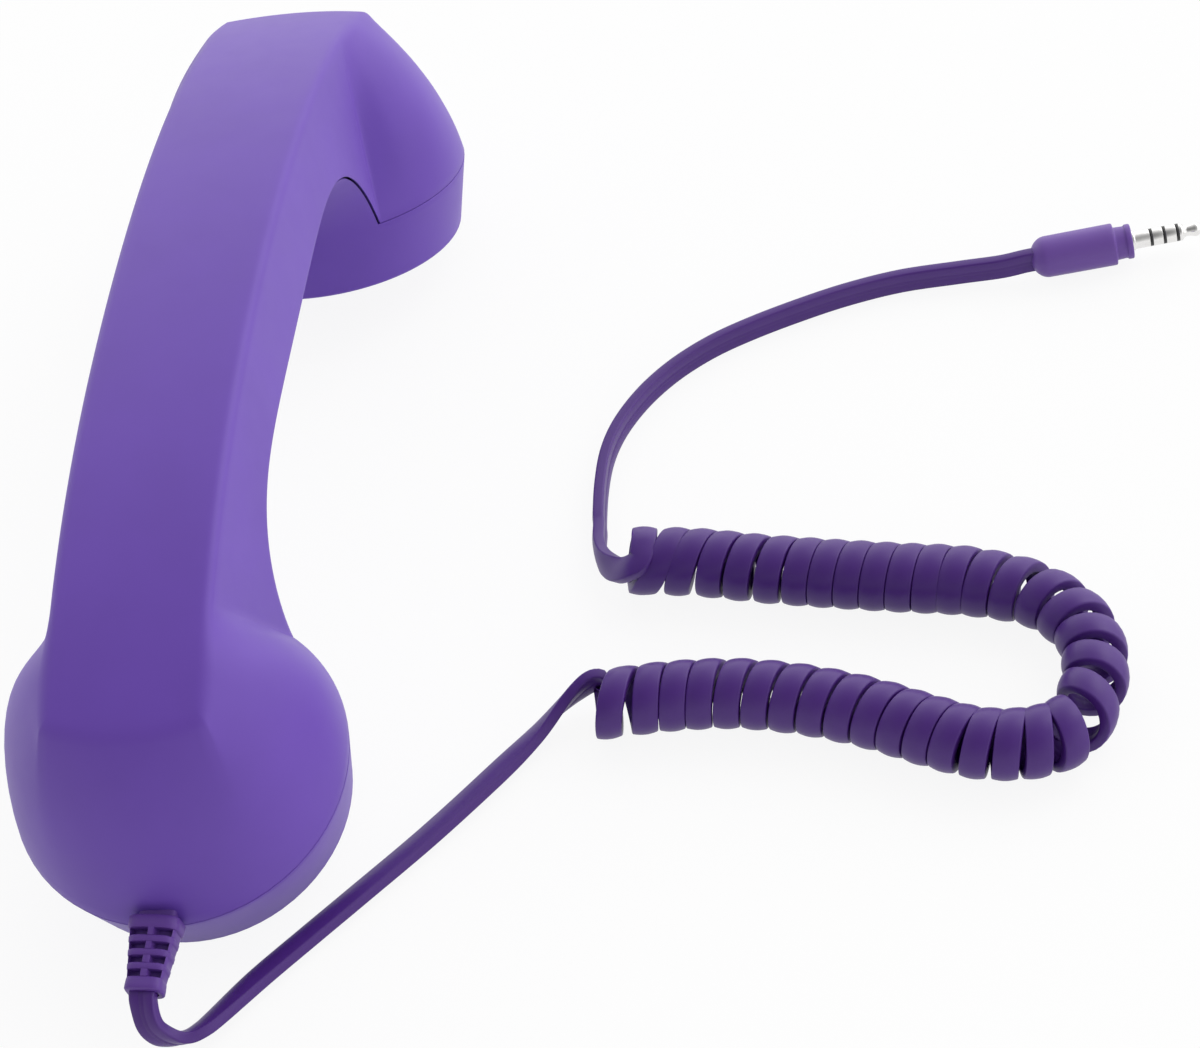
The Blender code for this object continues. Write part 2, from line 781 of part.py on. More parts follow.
def make_front_shell(tunnel):
    shell = add_object("front_shell", front_quarter(), "soft_touch")
    mirror_quarter(shell)

    bm = bmesh.new()
    wall_middle = cup_radius(LUG_HEIGHT) - FRONT_WALL / 2
    for head in (EAR, MOUTH):
        for side in (-1, 1):
            near = side * (POST_OFFSET - POST_RADIUS)
            far = side * math.sqrt(wall_middle**2 - (LUG_WIDTH / 2) ** 2)
            low = (min(near, far), -LUG_WIDTH / 2, LUG_HEIGHT)
            high = (max(near, far), LUG_WIDTH / 2, lug_top())
            add_box(bm, low, high, head)
    for place in board_post_places():
        low = belly_height(place.translation.y) + FRONT_WALL / 2
        add_cylinder(bm, BOARD_POST_RADIUS, low, board_low() - SEAT_GAP, place, 16)
    fixings = add_object("front_fixings", mesh_of("front_fixings", bm))

    bm = bmesh.new()
    hole = SCREW_RADIUS + SCREW_HOLE_CLEARANCE
    for head in (EAR, MOUTH):
        for place in post_places():
            add_cylinder(bm, hole, LUG_HEIGHT - OVERCUT, lug_top() + OVERCUT, head @ place)
    for place in board_post_places():
        low = belly_height(place.translation.y) + FRONT_WALL
        add_cylinder(bm, hole, low, board_low(), place)
    button = Matrix.Translation((0, BUTTON_Y, 0))
    belly = EDGE_HEIGHT - BELLY_DEPTH
    add_cylinder(bm, BUTTON_RADIUS + SEAT_GAP, belly - OVERCUT, belly + 2 * FRONT_WALL, button, 32)
    holes = add_object("front_holes", mesh_of("front_holes", bm))

    combine(shell, fixings, "UNION")
    combine(shell, holes, "DIFFERENCE")
    combine(shell, tunnel, "DIFFERENCE")


def make_cap(name, head, step, rings):
    """A plate behind the cup's lip with its face level with it, and rings of holes in its middle."""
    flange_low = LIP_THICKNESS + SEAT_GAP
    flange_high = flange_low + CAP_FLANGE_THICKNESS
    flange_radius = CAP_RADIUS + CAP_FLANGE_OVERLAP
    inner = CAP_RADIUS - CAP_RIM_WIDTH
    profile = [
        (0, CAP_PLATE),
        (inner, CAP_PLATE),
        (inner, flange_high),
        (flange_radius, flange_high),
        (flange_radius, flange_low),
        (CAP_RADIUS, flange_low),
        (CAP_RADIUS, 0),
        (0, 0),
    ]
    cap = turned(name, profile, "soft_touch", head)
    bm = bmesh.new()
    for ring in range(rings):
        count = max(1, 6 * ring)
        for i in range(count):
            turn = 2 * math.pi * i / count
            at = Matrix.Translation((ring * step * math.cos(turn), ring * step * math.sin(turn), 0))
            add_cylinder(bm, GRILLE_HOLE_RADIUS, -OVERCUT, CAP_PLATE + OVERCUT, head @ at)
    combine(cap, add_object(name + "_holes", mesh_of(name + "_holes", bm)), "DIFFERENCE")


def make_speaker():
    low = CAP_PLATE + SEAT_GAP
    inner = SPEAKER_RADIUS - GASKET_WIDTH
    gasket_top = low + GASKET_THICKNESS
    ring = [(inner, gasket_top), (SPEAKER_RADIUS, gasket_top), (SPEAKER_RADIUS, low), (inner, low)]
    turned("speaker_gasket", ring, "foam", EAR)

    base = gasket_top + SEAT_GAP
    flange_top = base + SPEAKER_FLANGE
    top = base + SPEAKER_DEPTH
    sheet = SPEAKER_SHEET
    hub = MAGNET_RADIUS + 2 * sheet
    frame = [
        (0, top),
        (hub, top),
        (inner - sheet, flange_top),
        (SPEAKER_RADIUS, flange_top),
        (SPEAKER_RADIUS, base),
        (inner - 2 * sheet, base),
        (hub - sheet, top - sheet),
        (0, top - sheet),
    ]
    turned("speaker_frame", frame, "steel", EAR)

    edge = inner - 2 * sheet - SEAT_GAP
    cone_edge = base + CONE_SHEET
    cone_top = top - sheet - 2 * SEAT_GAP
    waist = hub - 2 * sheet - SEAT_GAP
    cone = [
        (0, cone_top),
        (waist, cone_top),
        (edge - sheet, cone_edge),
        (edge, cone_edge),
        (edge, base),
        (edge - 2 * sheet, base),
        (waist - sheet, cone_top - CONE_SHEET),
        (0, cone_top - CONE_SHEET),
    ]
    turned("speaker_cone", cone, "cone_paper", EAR)

    seat = top + SEAT_GAP
    magnet = [(0, seat + MAGNET_HEIGHT), (MAGNET_RADIUS, seat + MAGNET_HEIGHT), (MAGNET_RADIUS, seat), (0, seat)]
    turned("speaker_magnet", magnet, "steel", EAR, 32)
    return seat + MAGNET_HEIGHT


def make_microphone():
    low = CAP_PLATE + SEAT_GAP
    bore = CAPSULE_RADIUS + SEAT_GAP
    outer = bore + BOOT_WALL
    top = low + CAPSULE_HEIGHT
    boot = [(bore, top), (outer, top), (outer, low), (bore, low)]
    turned("microphone_boot", boot, "foam", MOUTH, 32)
    capsule = [(0, top), (CAPSULE_RADIUS, top), (CAPSULE_RADIUS, low), (0, low)]
    turned("microphone_capsule", capsule, "metal", MOUTH, 32)
    return top


def make_board():
    low = board_low()
    start, end = board_ends()
    bm = bmesh.new()
    half = BOARD_WIDTH / 2
    add_box(bm, (-half, start, low), (half, end, low + BOARD_THICKNESS), Matrix())
    board = add_object("circuit_board", mesh_of("circuit_board", bm), "board")
    bm = bmesh.new()
    hole = SCREW_RADIUS + SCREW_HOLE_CLEARANCE
    for place in board_post_places():
        add_cylinder(bm, hole, low - OVERCUT, low + BOARD_THICKNESS + OVERCUT, place)
    combine(board, add_object("board_holes", mesh_of("board_holes", bm)), "DIFFERENCE")

    top = low - SEAT_GAP
    bottom = top - SWITCH_HEIGHT
    bm = bmesh.new()
    half = SWITCH_SIZE / 2
    add_box(bm, (-half, BUTTON_Y - half, bottom), (half, BUTTON_Y + half, top), Matrix())
    switch = add_object("tact_switch", mesh_of("tact_switch", bm), "black_plastic")
    bm = bmesh.new()
    at = Matrix.Translation((0, BUTTON_Y, 0))
    bore = PLUNGER_RADIUS + SEAT_GAP
    add_cylinder(bm, bore, bottom - OVERCUT, bottom + PLUNGER_BORE_DEPTH, at, 24)
    combine(switch, add_object("switch_bore", mesh_of("switch_bore", bm)), "DIFFERENCE")
    return bottom


def make_button(switch_bottom):
    """The button's flange rests just above the belly, and the plunger stands on the button."""
    belly = EDGE_HEIGHT - BELLY_DEPTH
    flange_low = belly + FRONT_WALL + 2 * SEAT_GAP
    flange_high = flange_low + BUTTON_FLANGE
    face = belly - BUTTON_PROUD
    at = Matrix.Translation((0, BUTTON_Y, 0))
    profile = [
        (0, flange_high),
        (BUTTON_FLANGE_RADIUS, flange_high),
        (BUTTON_FLANGE_RADIUS, flange_low),
        (BUTTON_RADIUS, flange_low),
        (BUTTON_RADIUS, face + BUTTON_CROWN),
        (BUTTON_RADIUS - BUTTON_CROWN, face),
        (0, face),
    ]
    turned("answer_button", profile, "soft_touch", at, 32)
    low = flange_high + SEAT_GAP
    high = switch_bottom + PLUNGER_BORE_DEPTH - BUTTON_TRAVEL - SEAT_GAP
    plunger = [(0, high), (PLUNGER_RADIUS, high), (PLUNGER_RADIUS, low), (0, low)]
    turned("switch_plunger", plunger, "black_plastic", at, 24)


def make_weight():
    top = weight_top()
    half = WEIGHT_WIDTH / 2
    reach = WEIGHT_LENGTH / 2
    bm = bmesh.new()
    add_box(bm, (-half, -reach, top - WEIGHT_THICKNESS), (half, reach, top), Matrix())
    bar = add_object("balance_weight", mesh_of("balance_weight", bm), "steel")
    bm = bmesh.new()
    hole = SCREW_RADIUS + SCREW_HOLE_CLEARANCE
    for place in weight_places():
        add_cylinder(bm, hole, top - WEIGHT_THICKNESS - OVERCUT, top + OVERCUT, place)
    combine(bar, add_object("weight_holes", mesh_of("weight_holes", bm)), "DIFFERENCE")


def make_screw(name, seat, shank, place):
    """A pan-head screw whose head bears on the seat from below, its shank reaching up from it."""
    low = seat - SEAT_GAP - SCREW_HEAD_HEIGHT
    shoulder = seat - SEAT_GAP
    tip = seat + shank
    profile = [
        (0, tip),
        (SCREW_RADIUS * 0.6, tip),
        (SCREW_RADIUS, tip - SCREW_RADIUS * 0.6),
        (SCREW_RADIUS, shoulder),
        (SCREW_HEAD_RADIUS, shoulder),
        (SCREW_HEAD_RADIUS, low + SCREW_HEAD_HEIGHT / 3),
        (SCREW_HEAD_RADIUS * 0.8, low),
        (0, low),
    ]
    turned(name, profile, "steel", place, 16)


def make_screws():
    number = 0
    for head in (EAR, MOUTH):
        for place in post_places():
            number += 1
            make_screw(f"shell_screw_{number}", LUG_HEIGHT, LUG_THICKNESS + SCREW_BITE, head @ place)
    for i, place in enumerate(weight_places(), 1):
        seat = weight_top() - WEIGHT_THICKNESS
        make_screw(f"weight_screw_{i}", seat, WEIGHT_THICKNESS + WEIGHT_BOSS_HEIGHT, place)
    turned_over = Matrix.Rotation(math.pi, 4, "X")
    for i, place in enumerate(board_post_places(), 1):
        top = board_low() + BOARD_THICKNESS
        down = place @ Matrix.Translation((0, 0, top)) @ turned_over
        reach = top - (EDGE_HEIGHT - BELLY_DEPTH + FRONT_WALL) - SEAT_GAP
        make_screw(f"board_screw_{i}", 0, reach, down)


def rounded_section(half_width, half_height, z, sides=RELIEF_SIDES, power=0.45):
    """A rounded rectangle, as a superellipse, at height z."""
    points = []
    for i in range(sides):
        turn = 2 * math.pi * (i + 0.5) / sides
        c, s = math.cos(turn), math.sin(turn)
        x = half_width * math.copysign(abs(c) ** power, c)
        y = half_height * math.copysign(abs(s) ** power, s)
        points.append(Vector((x, y, z)))
    return points


def relief_section(z, slotted):
    """The strain relief's outline at z. A slot goes in to the core all round but for the two spines."""
    share = z / RELIEF_LENGTH
    width = RELIEF_BASE[0] + (RELIEF_END[0] - RELIEF_BASE[0]) * share
    height = RELIEF_BASE[1] + (RELIEF_END[1] - RELIEF_BASE[1]) * share
    full = rounded_section(width / 2, height / 2, z)
    if not slotted:
        return full
    core = rounded_section(width / 2 - RELIEF_CORE_DEPTH, height / 2 - RELIEF_CORE_DEPTH, z)
    kept = []
    for outer, inner in zip(full, core):
        on_spine = abs(inner.x) < RELIEF_SPINE / 2
        kept.append(Vector((inner.x, outer.y, z)) if on_spine else inner)
    return kept


def upright(section):
    """The section with its points moved along Z, so that it lies flat against the dome's upright wall."""
    return [Vector((p.x, p.y, p.z - p.y * math.tan(HEAD_TILT))) for p in section]


def make_relief():
    """Inner flange, neck through the shell, base flange, slotted taper and end collar, as one moulding."""
    neck_start = -RELIEF_NECK_LENGTH
    flange_start = neck_start - RELIEF_INNER_FLANGE
    neck = [side / 2 for side in RELIEF_NECK]
    inner = [side / 2 for side in RELIEF_INNER_SIZE]
    sections = [
        rounded_section(*inner, flange_start),
        rounded_section(*inner, neck_start),
        rounded_section(*neck, neck_start),
        upright(rounded_section(*neck, 0)),
        upright(relief_section(0, False)),
        relief_section(RELIEF_FLANGE, False),
    ]
    pitch = (RELIEF_LENGTH - RELIEF_FLANGE - RELIEF_COLLAR) / RELIEF_RIBS
    for i in range(RELIEF_RIBS):
        start = RELIEF_FLANGE + i * pitch
        end = start + pitch / 2
        sections += [relief_section(start, True), relief_section(end, True), relief_section(end, False)]
        if i < RELIEF_RIBS - 1:
            sections.append(relief_section(start + pitch, False))
    sections.append(relief_section(RELIEF_LENGTH, False))
    bm = bmesh.new()
    rows = [[bm.verts.new(p) for p in section] for section in sections]
    for lower, upper in zip(rows, rows[1:]):
        for i in range(len(lower)):
            j = (i + 1) % len(lower)
            bm.faces.new((lower[i], lower[j], upper[j], upper[i]))
    bm.faces.new(rows[0])
    bm.faces.new(rows[-1])
    bmesh.ops.recalc_face_normals(bm, faces=bm.faces)
    add_object("strain_relief", mesh_of("strain_relief", bm), "cord", relief_frame())


def coil_joint(end, inner, offset):
    """Two points of a cable that meets the coil's end face squarely, offset across and up from its axis."""
    out = (end - inner).normalized()
    up = Vector((0, 0, 1))
    at = end + out.cross(up) * offset[0] + up * offset[1] + out * SEAT_GAP
    return at + out * CORD_LANDING, at


def cable_radius():
    """The radius of a round cable whose section has the flat cable's area."""
    flat = (CORD_WIDTH - CORD_THICKNESS) * CORD_THICKNESS
    return math.sqrt(flat / math.pi + (CORD_THICKNESS / 2) ** 2)


def make_cord():
    frame = relief_frame()
    leave = frame @ Vector((0, 0, RELIEF_LENGTH + SEAT_GAP))
    straight = frame @ Vector((0, 0, RELIEF_LENGTH + SEAT_GAP + CORD_LANDING))
    height = COIL_DIAMETER / 2 + SEAT_GAP / 4
    coil = smooth_curve([(x, y, height) for x, y in COIL_ROUTE], 30)
    tube("curly_cord", coil, COIL_DIAMETER / 2, "cord", 4)
    near, touching = coil_joint(coil[0], coil[1], COIL_ENTRY)
    route = [straight] + [Vector(p) for p in HANDSET_ROUTE] + [near]
    points = [leave] + smooth_curve(route, 26) + [touching]
    tube("cable_handset_side", points, cable_radius(), "cord")
    near, touching = coil_joint(coil[-1], coil[-2], COIL_EXIT)
    out = Vector((math.cos(PLUG_ANGLE), math.sin(PLUG_ANGLE), 0))
    route = [near] + [Vector(p) for p in PLUG_ROUTE] + [PLUG_START - out * SEAT_GAP]
    tube("cable_plug_side", [touching] + smooth_curve(route, 24), cable_radius(), "cord")


def plug_frame():
    """At the rear of the plug's moulding, Z pointing out along the jack."""
    out = Vector((math.cos(PLUG_ANGLE), math.sin(PLUG_ANGLE), 0))
    across = Vector((0, 0, 1)).cross(out)
    turn = Matrix((across, out.cross(across), out)).transposed().to_4x4()
    return Matrix.Translation(PLUG_START) @ turn


def make_plug():
    """The moulding, then the jack's sleeve, two rings and tip on one insulating core with three bands."""
    place = plug_frame()
    body_end = PLUG_LENGTH
    neck_end = PLUG_LENGTH + PLUG_NECK_LENGTH
    fillet = PLUG_RADIUS * 0.3
    bore = JACK_RADIUS + JACK_GAP
    moulding = [
        (0, neck_end - JACK_SEAT_DEPTH),
        (bore, neck_end - JACK_SEAT_DEPTH),
        (bore, neck_end),
        (PLUG_NECK_RADIUS - PLUG_EDGE, neck_end),
        (PLUG_NECK_RADIUS, neck_end - PLUG_EDGE),
        (PLUG_NECK_RADIUS, body_end),
        (PLUG_RADIUS - PLUG_EDGE, body_end),
        (PLUG_RADIUS, body_end - PLUG_EDGE),
        (PLUG_RADIUS, fillet),
        (PLUG_RADIUS - fillet * 0.3, fillet * 0.3),
        (PLUG_RADIUS - fillet, 0),
        (0, 0),
    ]
    turned("plug_moulding", moulding, "cord", place, 32)

    core = JACK_CORE_RADIUS
    hole = core + JACK_GAP
    z = neck_end - JACK_SEAT_DEPTH + JACK_GAP
    start = z
    lengths = (
        ("jack_sleeve", JACK_SLEEVE_LENGTH + JACK_SEAT_DEPTH),
        ("jack_ring_2", JACK_RING_LENGTH),
        ("jack_ring_1", JACK_RING_LENGTH),
    )
    bands = []
    for name, length in lengths:
        ring = [(hole, z + length), (JACK_RADIUS, z + length), (JACK_RADIUS, z), (hole, z)]
        turned(name, ring, "metal", place, JACK_SIDES)
        z += length + JACK_GAP
        bands.append(z)
        z += JACK_BAND + JACK_GAP
    end = z + JACK_TIP_CORE_DEPTH
    insulator = [(0, end), (core, end)]
    for low in reversed(bands):
        high = low + JACK_BAND
        insulator += [(core, high), (JACK_RADIUS, high), (JACK_RADIUS, low), (core, low)]
    insulator += [(core, start), (0, start)]
    turned("jack_insulator", insulator, "black_plastic", place, JACK_SIDES)
    # From the ball's end down to the waist and the collar, then the bore for the core
    ball = JACK_TIP_BALL
    tip = [
        (0, z + JACK_TIP_LENGTH),
        (ball * 0.45, z + JACK_TIP_LENGTH * 0.98),
        (ball * 0.8, z + JACK_TIP_LENGTH * 0.91),
        (ball, z + JACK_TIP_LENGTH * 0.8),
        (ball, z + JACK_TIP_LENGTH * 0.68),
        (JACK_TIP_WAIST, z + JACK_TIP_LENGTH * 0.46),
        (JACK_TIP_WAIST, z + JACK_TIP_LENGTH * 0.34),
        (JACK_RADIUS, z + JACK_TIP_LENGTH * 0.14),
        (JACK_RADIUS, z),
        (hole, z),
        (hole, end + JACK_GAP),
        (0, end + JACK_GAP),
    ]
    turned("jack_tip", tip, "metal", place, JACK_SIDES)


def make_lead(name, start, side, x, route, radius, slot):
    """A wire that leaves start along its Z, runs under the back strip and comes to lie on the board.

    side is 1 from the ear head and -1 from the mouth head.
    """
    level = board_low() + BOARD_THICKNESS + SEAT_GAP + radius
    end = Vector((x, board_ends()[(side + 1) // 2] - side * LEAD_END_INSET, level))
    points = [start @ Vector((0, 0, LEAD_START))]
    for inwards, depth in route:
        y = HEAD_SPACING / 2 - inwards
        points.append(Vector((x, side * y, ridge_height(y) - depth)))
    points.append(end + Vector((0, side * LEAD_LANDING, 0)))
    tube(name, [start.translation] + smooth_curve(points, 16) + [end], radius, slot)


def make_leads(magnet_top, capsule_top):
    """From the speaker and the microphone to the board, and the cord's own tail."""
    half = BOARD_WIDTH / 2 - LEAD_SIDE_INSET
    start = EAR @ Matrix.Translation((0, 0, magnet_top + SEAT_GAP))
    make_lead("speaker_lead", start, 1, 0, SPEAKER_LEAD_ROUTE, LEAD_RADIUS, "black_plastic")
    start = MOUTH @ Matrix.Translation((LEAD_SIDE_INSET, 0, capsule_top + SEAT_GAP))
    make_lead("microphone_lead", start, -1, half, MICROPHONE_LEAD_ROUTE, LEAD_RADIUS, "black_plastic")
    inside = -RELIEF_NECK_LENGTH - RELIEF_INNER_FLANGE - SEAT_GAP
    start = relief_frame() @ Matrix.Translation((0, 0, inside)) @ Matrix.Rotation(math.pi, 4, "X")
    make_lead("cord_tail", start, -1, -half, TAIL_ROUTE, TAIL_RADIUS, "cord")


clear_scene()
PARTS = new_collection("telephone_handset")
HELPERS = new_collection("cutters", helper=True)
TUNNEL = relief_tunnel()
make_back_shell(TUNNEL)
make_front_shell(TUNNEL)
make_cap("ear_cap", EAR, EAR_GRILLE_STEP, EAR_GRILLE_RINGS)
make_cap("mouth_cap", MOUTH, MOUTH_GRILLE_STEP, MOUTH_GRILLE_RINGS)
MAGNET_TOP = make_speaker()
CAPSULE_TOP = make_microphone()
SWITCH_BOTTOM = make_board()
make_button(SWITCH_BOTTOM)
make_weight()
make_screws()
make_relief()
make_cord()
make_plug()
make_leads(MAGNET_TOP, CAPSULE_TOP)
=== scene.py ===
import math

import bmesh
import bpy
import numpy as np
from mathutils import Matrix, Vector


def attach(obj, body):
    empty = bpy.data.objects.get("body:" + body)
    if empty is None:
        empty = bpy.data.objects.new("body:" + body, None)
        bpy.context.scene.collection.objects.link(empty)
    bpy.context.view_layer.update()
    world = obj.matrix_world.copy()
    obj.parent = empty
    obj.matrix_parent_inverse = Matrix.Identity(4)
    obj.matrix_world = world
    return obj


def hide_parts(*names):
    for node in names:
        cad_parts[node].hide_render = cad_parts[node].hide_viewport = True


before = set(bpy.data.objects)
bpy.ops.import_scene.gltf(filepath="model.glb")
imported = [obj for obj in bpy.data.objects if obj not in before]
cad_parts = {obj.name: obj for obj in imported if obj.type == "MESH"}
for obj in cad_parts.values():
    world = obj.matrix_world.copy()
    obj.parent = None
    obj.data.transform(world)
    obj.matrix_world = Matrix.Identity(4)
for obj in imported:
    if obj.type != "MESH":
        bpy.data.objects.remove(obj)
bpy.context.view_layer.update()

# The handset's dimensions in metres, as in the part's source apart from SEAM, the height of
# the line between the shells round the heads, which is finer here
HEAD_SPACING = 0.152
TILT = math.radians(15.2)
RIM = 0.031
CUP_BOTTOM = 0.0279
CUP_HEIGHT = 0.01435
GAP = 0.0003
SEAM = 0.00007
EDGE_FILLET = 0.001
LIP = 0.0018
CAP = 0.0249
BACK_HALF = HEAD_SPACING / 2 + 0.0195
BACK_HEIGHT, BACK_DROP, BACK_STEEPENING = 0.0696, 0.0195, 0.315
STRIP_MIDDLE, STRIP_END, STRIP_CROWN, STRIP_BOW = 0.0287, 0.0294, 0.0005, 0.0024
RIDGE_ROUNDING = 0.0018
EDGE_HEIGHT, EDGE_HALF, EDGE_TUCK, FLARE = 0.0538, 0.017, 0.0004, 1.3
ARCH_POWER = 5
ARCH_END = math.radians(-53)
BELLY_DEPTH = 0.006
BACK_WALL, FRONT_WALL = 0.002, 0.0018
BUTTON_Y, BUTTON_RADIUS, BUTTON_PROUD = 0.010, 0.0042, 0.0009
BUTTON_FLANGE_RADIUS, BUTTON_FLANGE = 0.0056, 0.0010
BUTTON_ROLL, BUTTON_HOLLOW_START = 0.0011, 0.0022
BUTTON_HOLLOW_EDGE, BUTTON_HOLLOW = 0.00025, 0.00035
BUTTON_HOLE_HEIGHTS = (0.040, 0.053)

# The caps: a plate with a flange behind the cup's lip, dished inside a raised edge
CAP_PLATE, CAP_WALL, CAP_FLANGE, CAP_FLANGE_TOP = 0.0020, 0.0015, 0.0010, 0.0033
CAP_EDGE, CAP_DISH_START, CAP_DISH = 0.0020, 0.0030, 0.00035
# (radius, height) of one hole: countersunk from outside
CAP_HOLE = [(0.00135, 0), (0.00135, 0.00034), (0.00095, 0.00075), (0.00095, 0.0026)]
CORNER_ROUNDING = 0.00035

# Domes: how far across and down a rib's middle lies at a swell of 1, the share of the way
# round at which the strip's corner comes, how much closer the first ribs are, and the swell
# as (share of the way round, swell)
DOME_RUN, DOME_DROP, DOME_CORNER, DOME_CROWDING = 0.93, 0.42, 0.74, 1.4
DOME_SWELL = [(0, 0), (0.05, 0.26), (0.15, 0.74), (0.3, 1.15), (0.5, 0.95), (0.75, 0.9), (1, 0.98)]

# The strain relief: full sizes, apart from the neck, whose two are half sizes
RELIEF_LENGTH = 0.0138
RELIEF_YAW = math.radians(4.1)
RELIEF_BASE, RELIEF_END = (0.0094, 0.0064), (0.0062, 0.0046)
RELIEF_STANDOFF, RELIEF_RISE = 0.0004, 0.0026
RELIEF_FLANGE, RELIEF_PITCH, RELIEF_SLOT, RELIEF_SLOTS = 0.0026, 0.0025, 0.0014, 4
RELIEF_SPINE, RELIEF_SPINE_SHIFT, RELIEF_SLOT_DEPTH = 0.0012, 0.0001, 0.0018
# A slot's slope beside the spine, the shares of the half width over which it runs out, the
# most of the half height that it takes, and how much narrower the moulding is at it
SLOT_SLOPE, SLOT_RUN_OUT, SLOT_MOST, SLOT_NARROWING = 0.0002, (0.8, 0.93), 0.75, 0.035
# How far a slot's walls and a rib's edges reach along the moulding, and how deep the edges are
SLOT_WALL, RIB_EDGE, RIB_EDGE_DEPTH = 0.00004, 0.00015, 0.0001
RELIEF_NECK, RELIEF_NECK_LENGTH = (0.0034, 0.0015), 0.0030
RELIEF_MOUTH_GAP, RELIEF_MOUTH_DEPTH = 0.00025, 0.0012
# (height, how far the outline stands out there from the plain taper): from the base,
# from the base block's outer end, and from the end collar's outer end
RELIEF_BASE_RISE = [(0.0002, -0.0003), (0.0003, -0.0001), (0.0006, 0.0001)]
RELIEF_BLOCK_END = [(-0.0006, 0.0002), (-0.0002, 0.00015), (0, 0.0)]
RELIEF_COLLAR = [
    (-0.0016, 0.0001),
    (-0.0009, 0.0002),
    (-0.0003, 0.00025),
    (-0.0001, 0.00015),
    (0, 0.0),
]

# The cord: a flat strip, one face smooth and crowned, the other with a fine ridge between grooves
CORD_WIDTH, CORD_THICKNESS = 0.00475, 0.0024
CORD_CORNER, CORD_CROWN = 0.00038, 0.0003
CORD_RIDGE = [(-0.0006, 0), (-0.00028, 0.0001), (0, -0.00006), (0.00028, 0.0001), (0.0006, 0)]
# The spacing of points along the flat cables and the coil's axis, and how far to each side of
# a point on the axis its direction is taken
CORD_STEP, AXIS_STEP, AXIS_REACH = 0.0005, 0.0001, 0.0004
# How high the coil lies over the floor, where its centreline starts inside the strain relief
# and straightens beyond it, and how far from the plug's rear it is straight
COIL_CLEARANCE, CORD_INSIDE, CORD_BEYOND, CORD_STRAIGHT = 0.00005, 0.0011, 0.0008, 0.001
# How many neighbouring points a moving average takes in
COIL_EASING, LOWER_EASING, UPPER_EASING, FACE_EASING = 9, 13, 7, 11

# The plug and its jack
PLUG_LENGTH, PLUG_RADIUS, PLUG_NECK, PLUG_REAR = 0.0168, 0.0041, 0.0034, 0.0034
PLUG_START = (0.1455, 0.0583, 0.0042)
PLUG_ANGLE = math.radians(10.2)
JACK_RADIUS, JACK_BAND, JACK_RING, JACK_SLEEVE = 0.00175, 0.0006, 0.0020, 0.0035
JACK_SEAT = 0.0009
JACK_CORNER, TIP_CORNER, BAND_INSET = 0.00008, 0.00012, 0.00003
TURNED_SIDES = 64

# The cord's route, as in the part's source apart from the points next to the coil, which lead
# on to its turns, and small changes of height
HANDSET_ROUTE = [
    (-0.0003, -0.1270, 0.0085),
    (0.0009, -0.1275, 0.0060),
    (0.0028, -0.1270, 0.0040),
    (0.0048, -0.1260, 0.0029),
    (0.0069, -0.1243, 0.0026),
    (0.0090, -0.1217, 0.0024),
    (0.0153, -0.1129, 0.0020),
    (0.0230, -0.1037, 0.0019),
    (0.0303, -0.0952, 0.0019),
    (0.0415, -0.0820, 0.0019),
    (0.0516, -0.0690, 0.0020),
    (0.0582, -0.0603, 0.0025),
    (0.0630, -0.0547, 0.0042),
    (0.0666, -0.0521, 0.0059),
    (0.0692, -0.0511, 0.0071),
    (0.0710, -0.0508, 0.0070),
    (0.0719, -0.0510, 0.0060),
]
COIL_ROUTE = [
    (0.0702, -0.0567),
    (0.0734, -0.0563),
    (0.0848, -0.0552),
    (0.0967, -0.0554),
    (0.1087, -0.0576),
    (0.1206, -0.0614),
    (0.1315, -0.0662),
    (0.1406, -0.0696),
    (0.1499, -0.0699),
    (0.1561, -0.0670),
    (0.1592, -0.0605),
    (0.1603, -0.0526),
    (0.1587, -0.0446),
    (0.1542, -0.0383),
    (0.1478, -0.0336),
    (0.1365, -0.0303),
    (0.1243, -0.0286),
    (0.1113, -0.0267),
    (0.0981, -0.0245),
    (0.0866, -0.0222),
    (0.0761, -0.0210),
    (0.0725, -0.0207),
]
PLUG_ROUTE = [
    (0.0763, -0.0246, 0.0107),
    (0.0738, -0.0252, 0.0092),
    (0.0709, -0.0232, 0.0068),
    (0.0676, -0.0186, 0.0045),
    (0.0659, -0.0134, 0.0032),
    (0.0653, -0.0080, 0.00245),
    (0.0649, -0.0050, 0.00245),
    (0.0644, 0.0030, 0.00245),
    (0.0646, 0.0110, 0.00245),
    (0.0660, 0.0180, 0.00245),
    (0.0687, 0.0246, 0.00245),
    (0.0723, 0.0305, 0.00245),
    (0.0770, 0.0360, 0.00245),
    (0.0832, 0.0412, 0.00245),
    (0.0906, 0.0456, 0.00245),
    (0.0996, 0.0499, 0.00245),
    (0.1091, 0.0537, 0.00245),
    (0.1196, 0.0566, 0.00245),
    (0.1310, 0.0576, 0.0028),
    (0.1395, 0.0577, 0.0035),
]
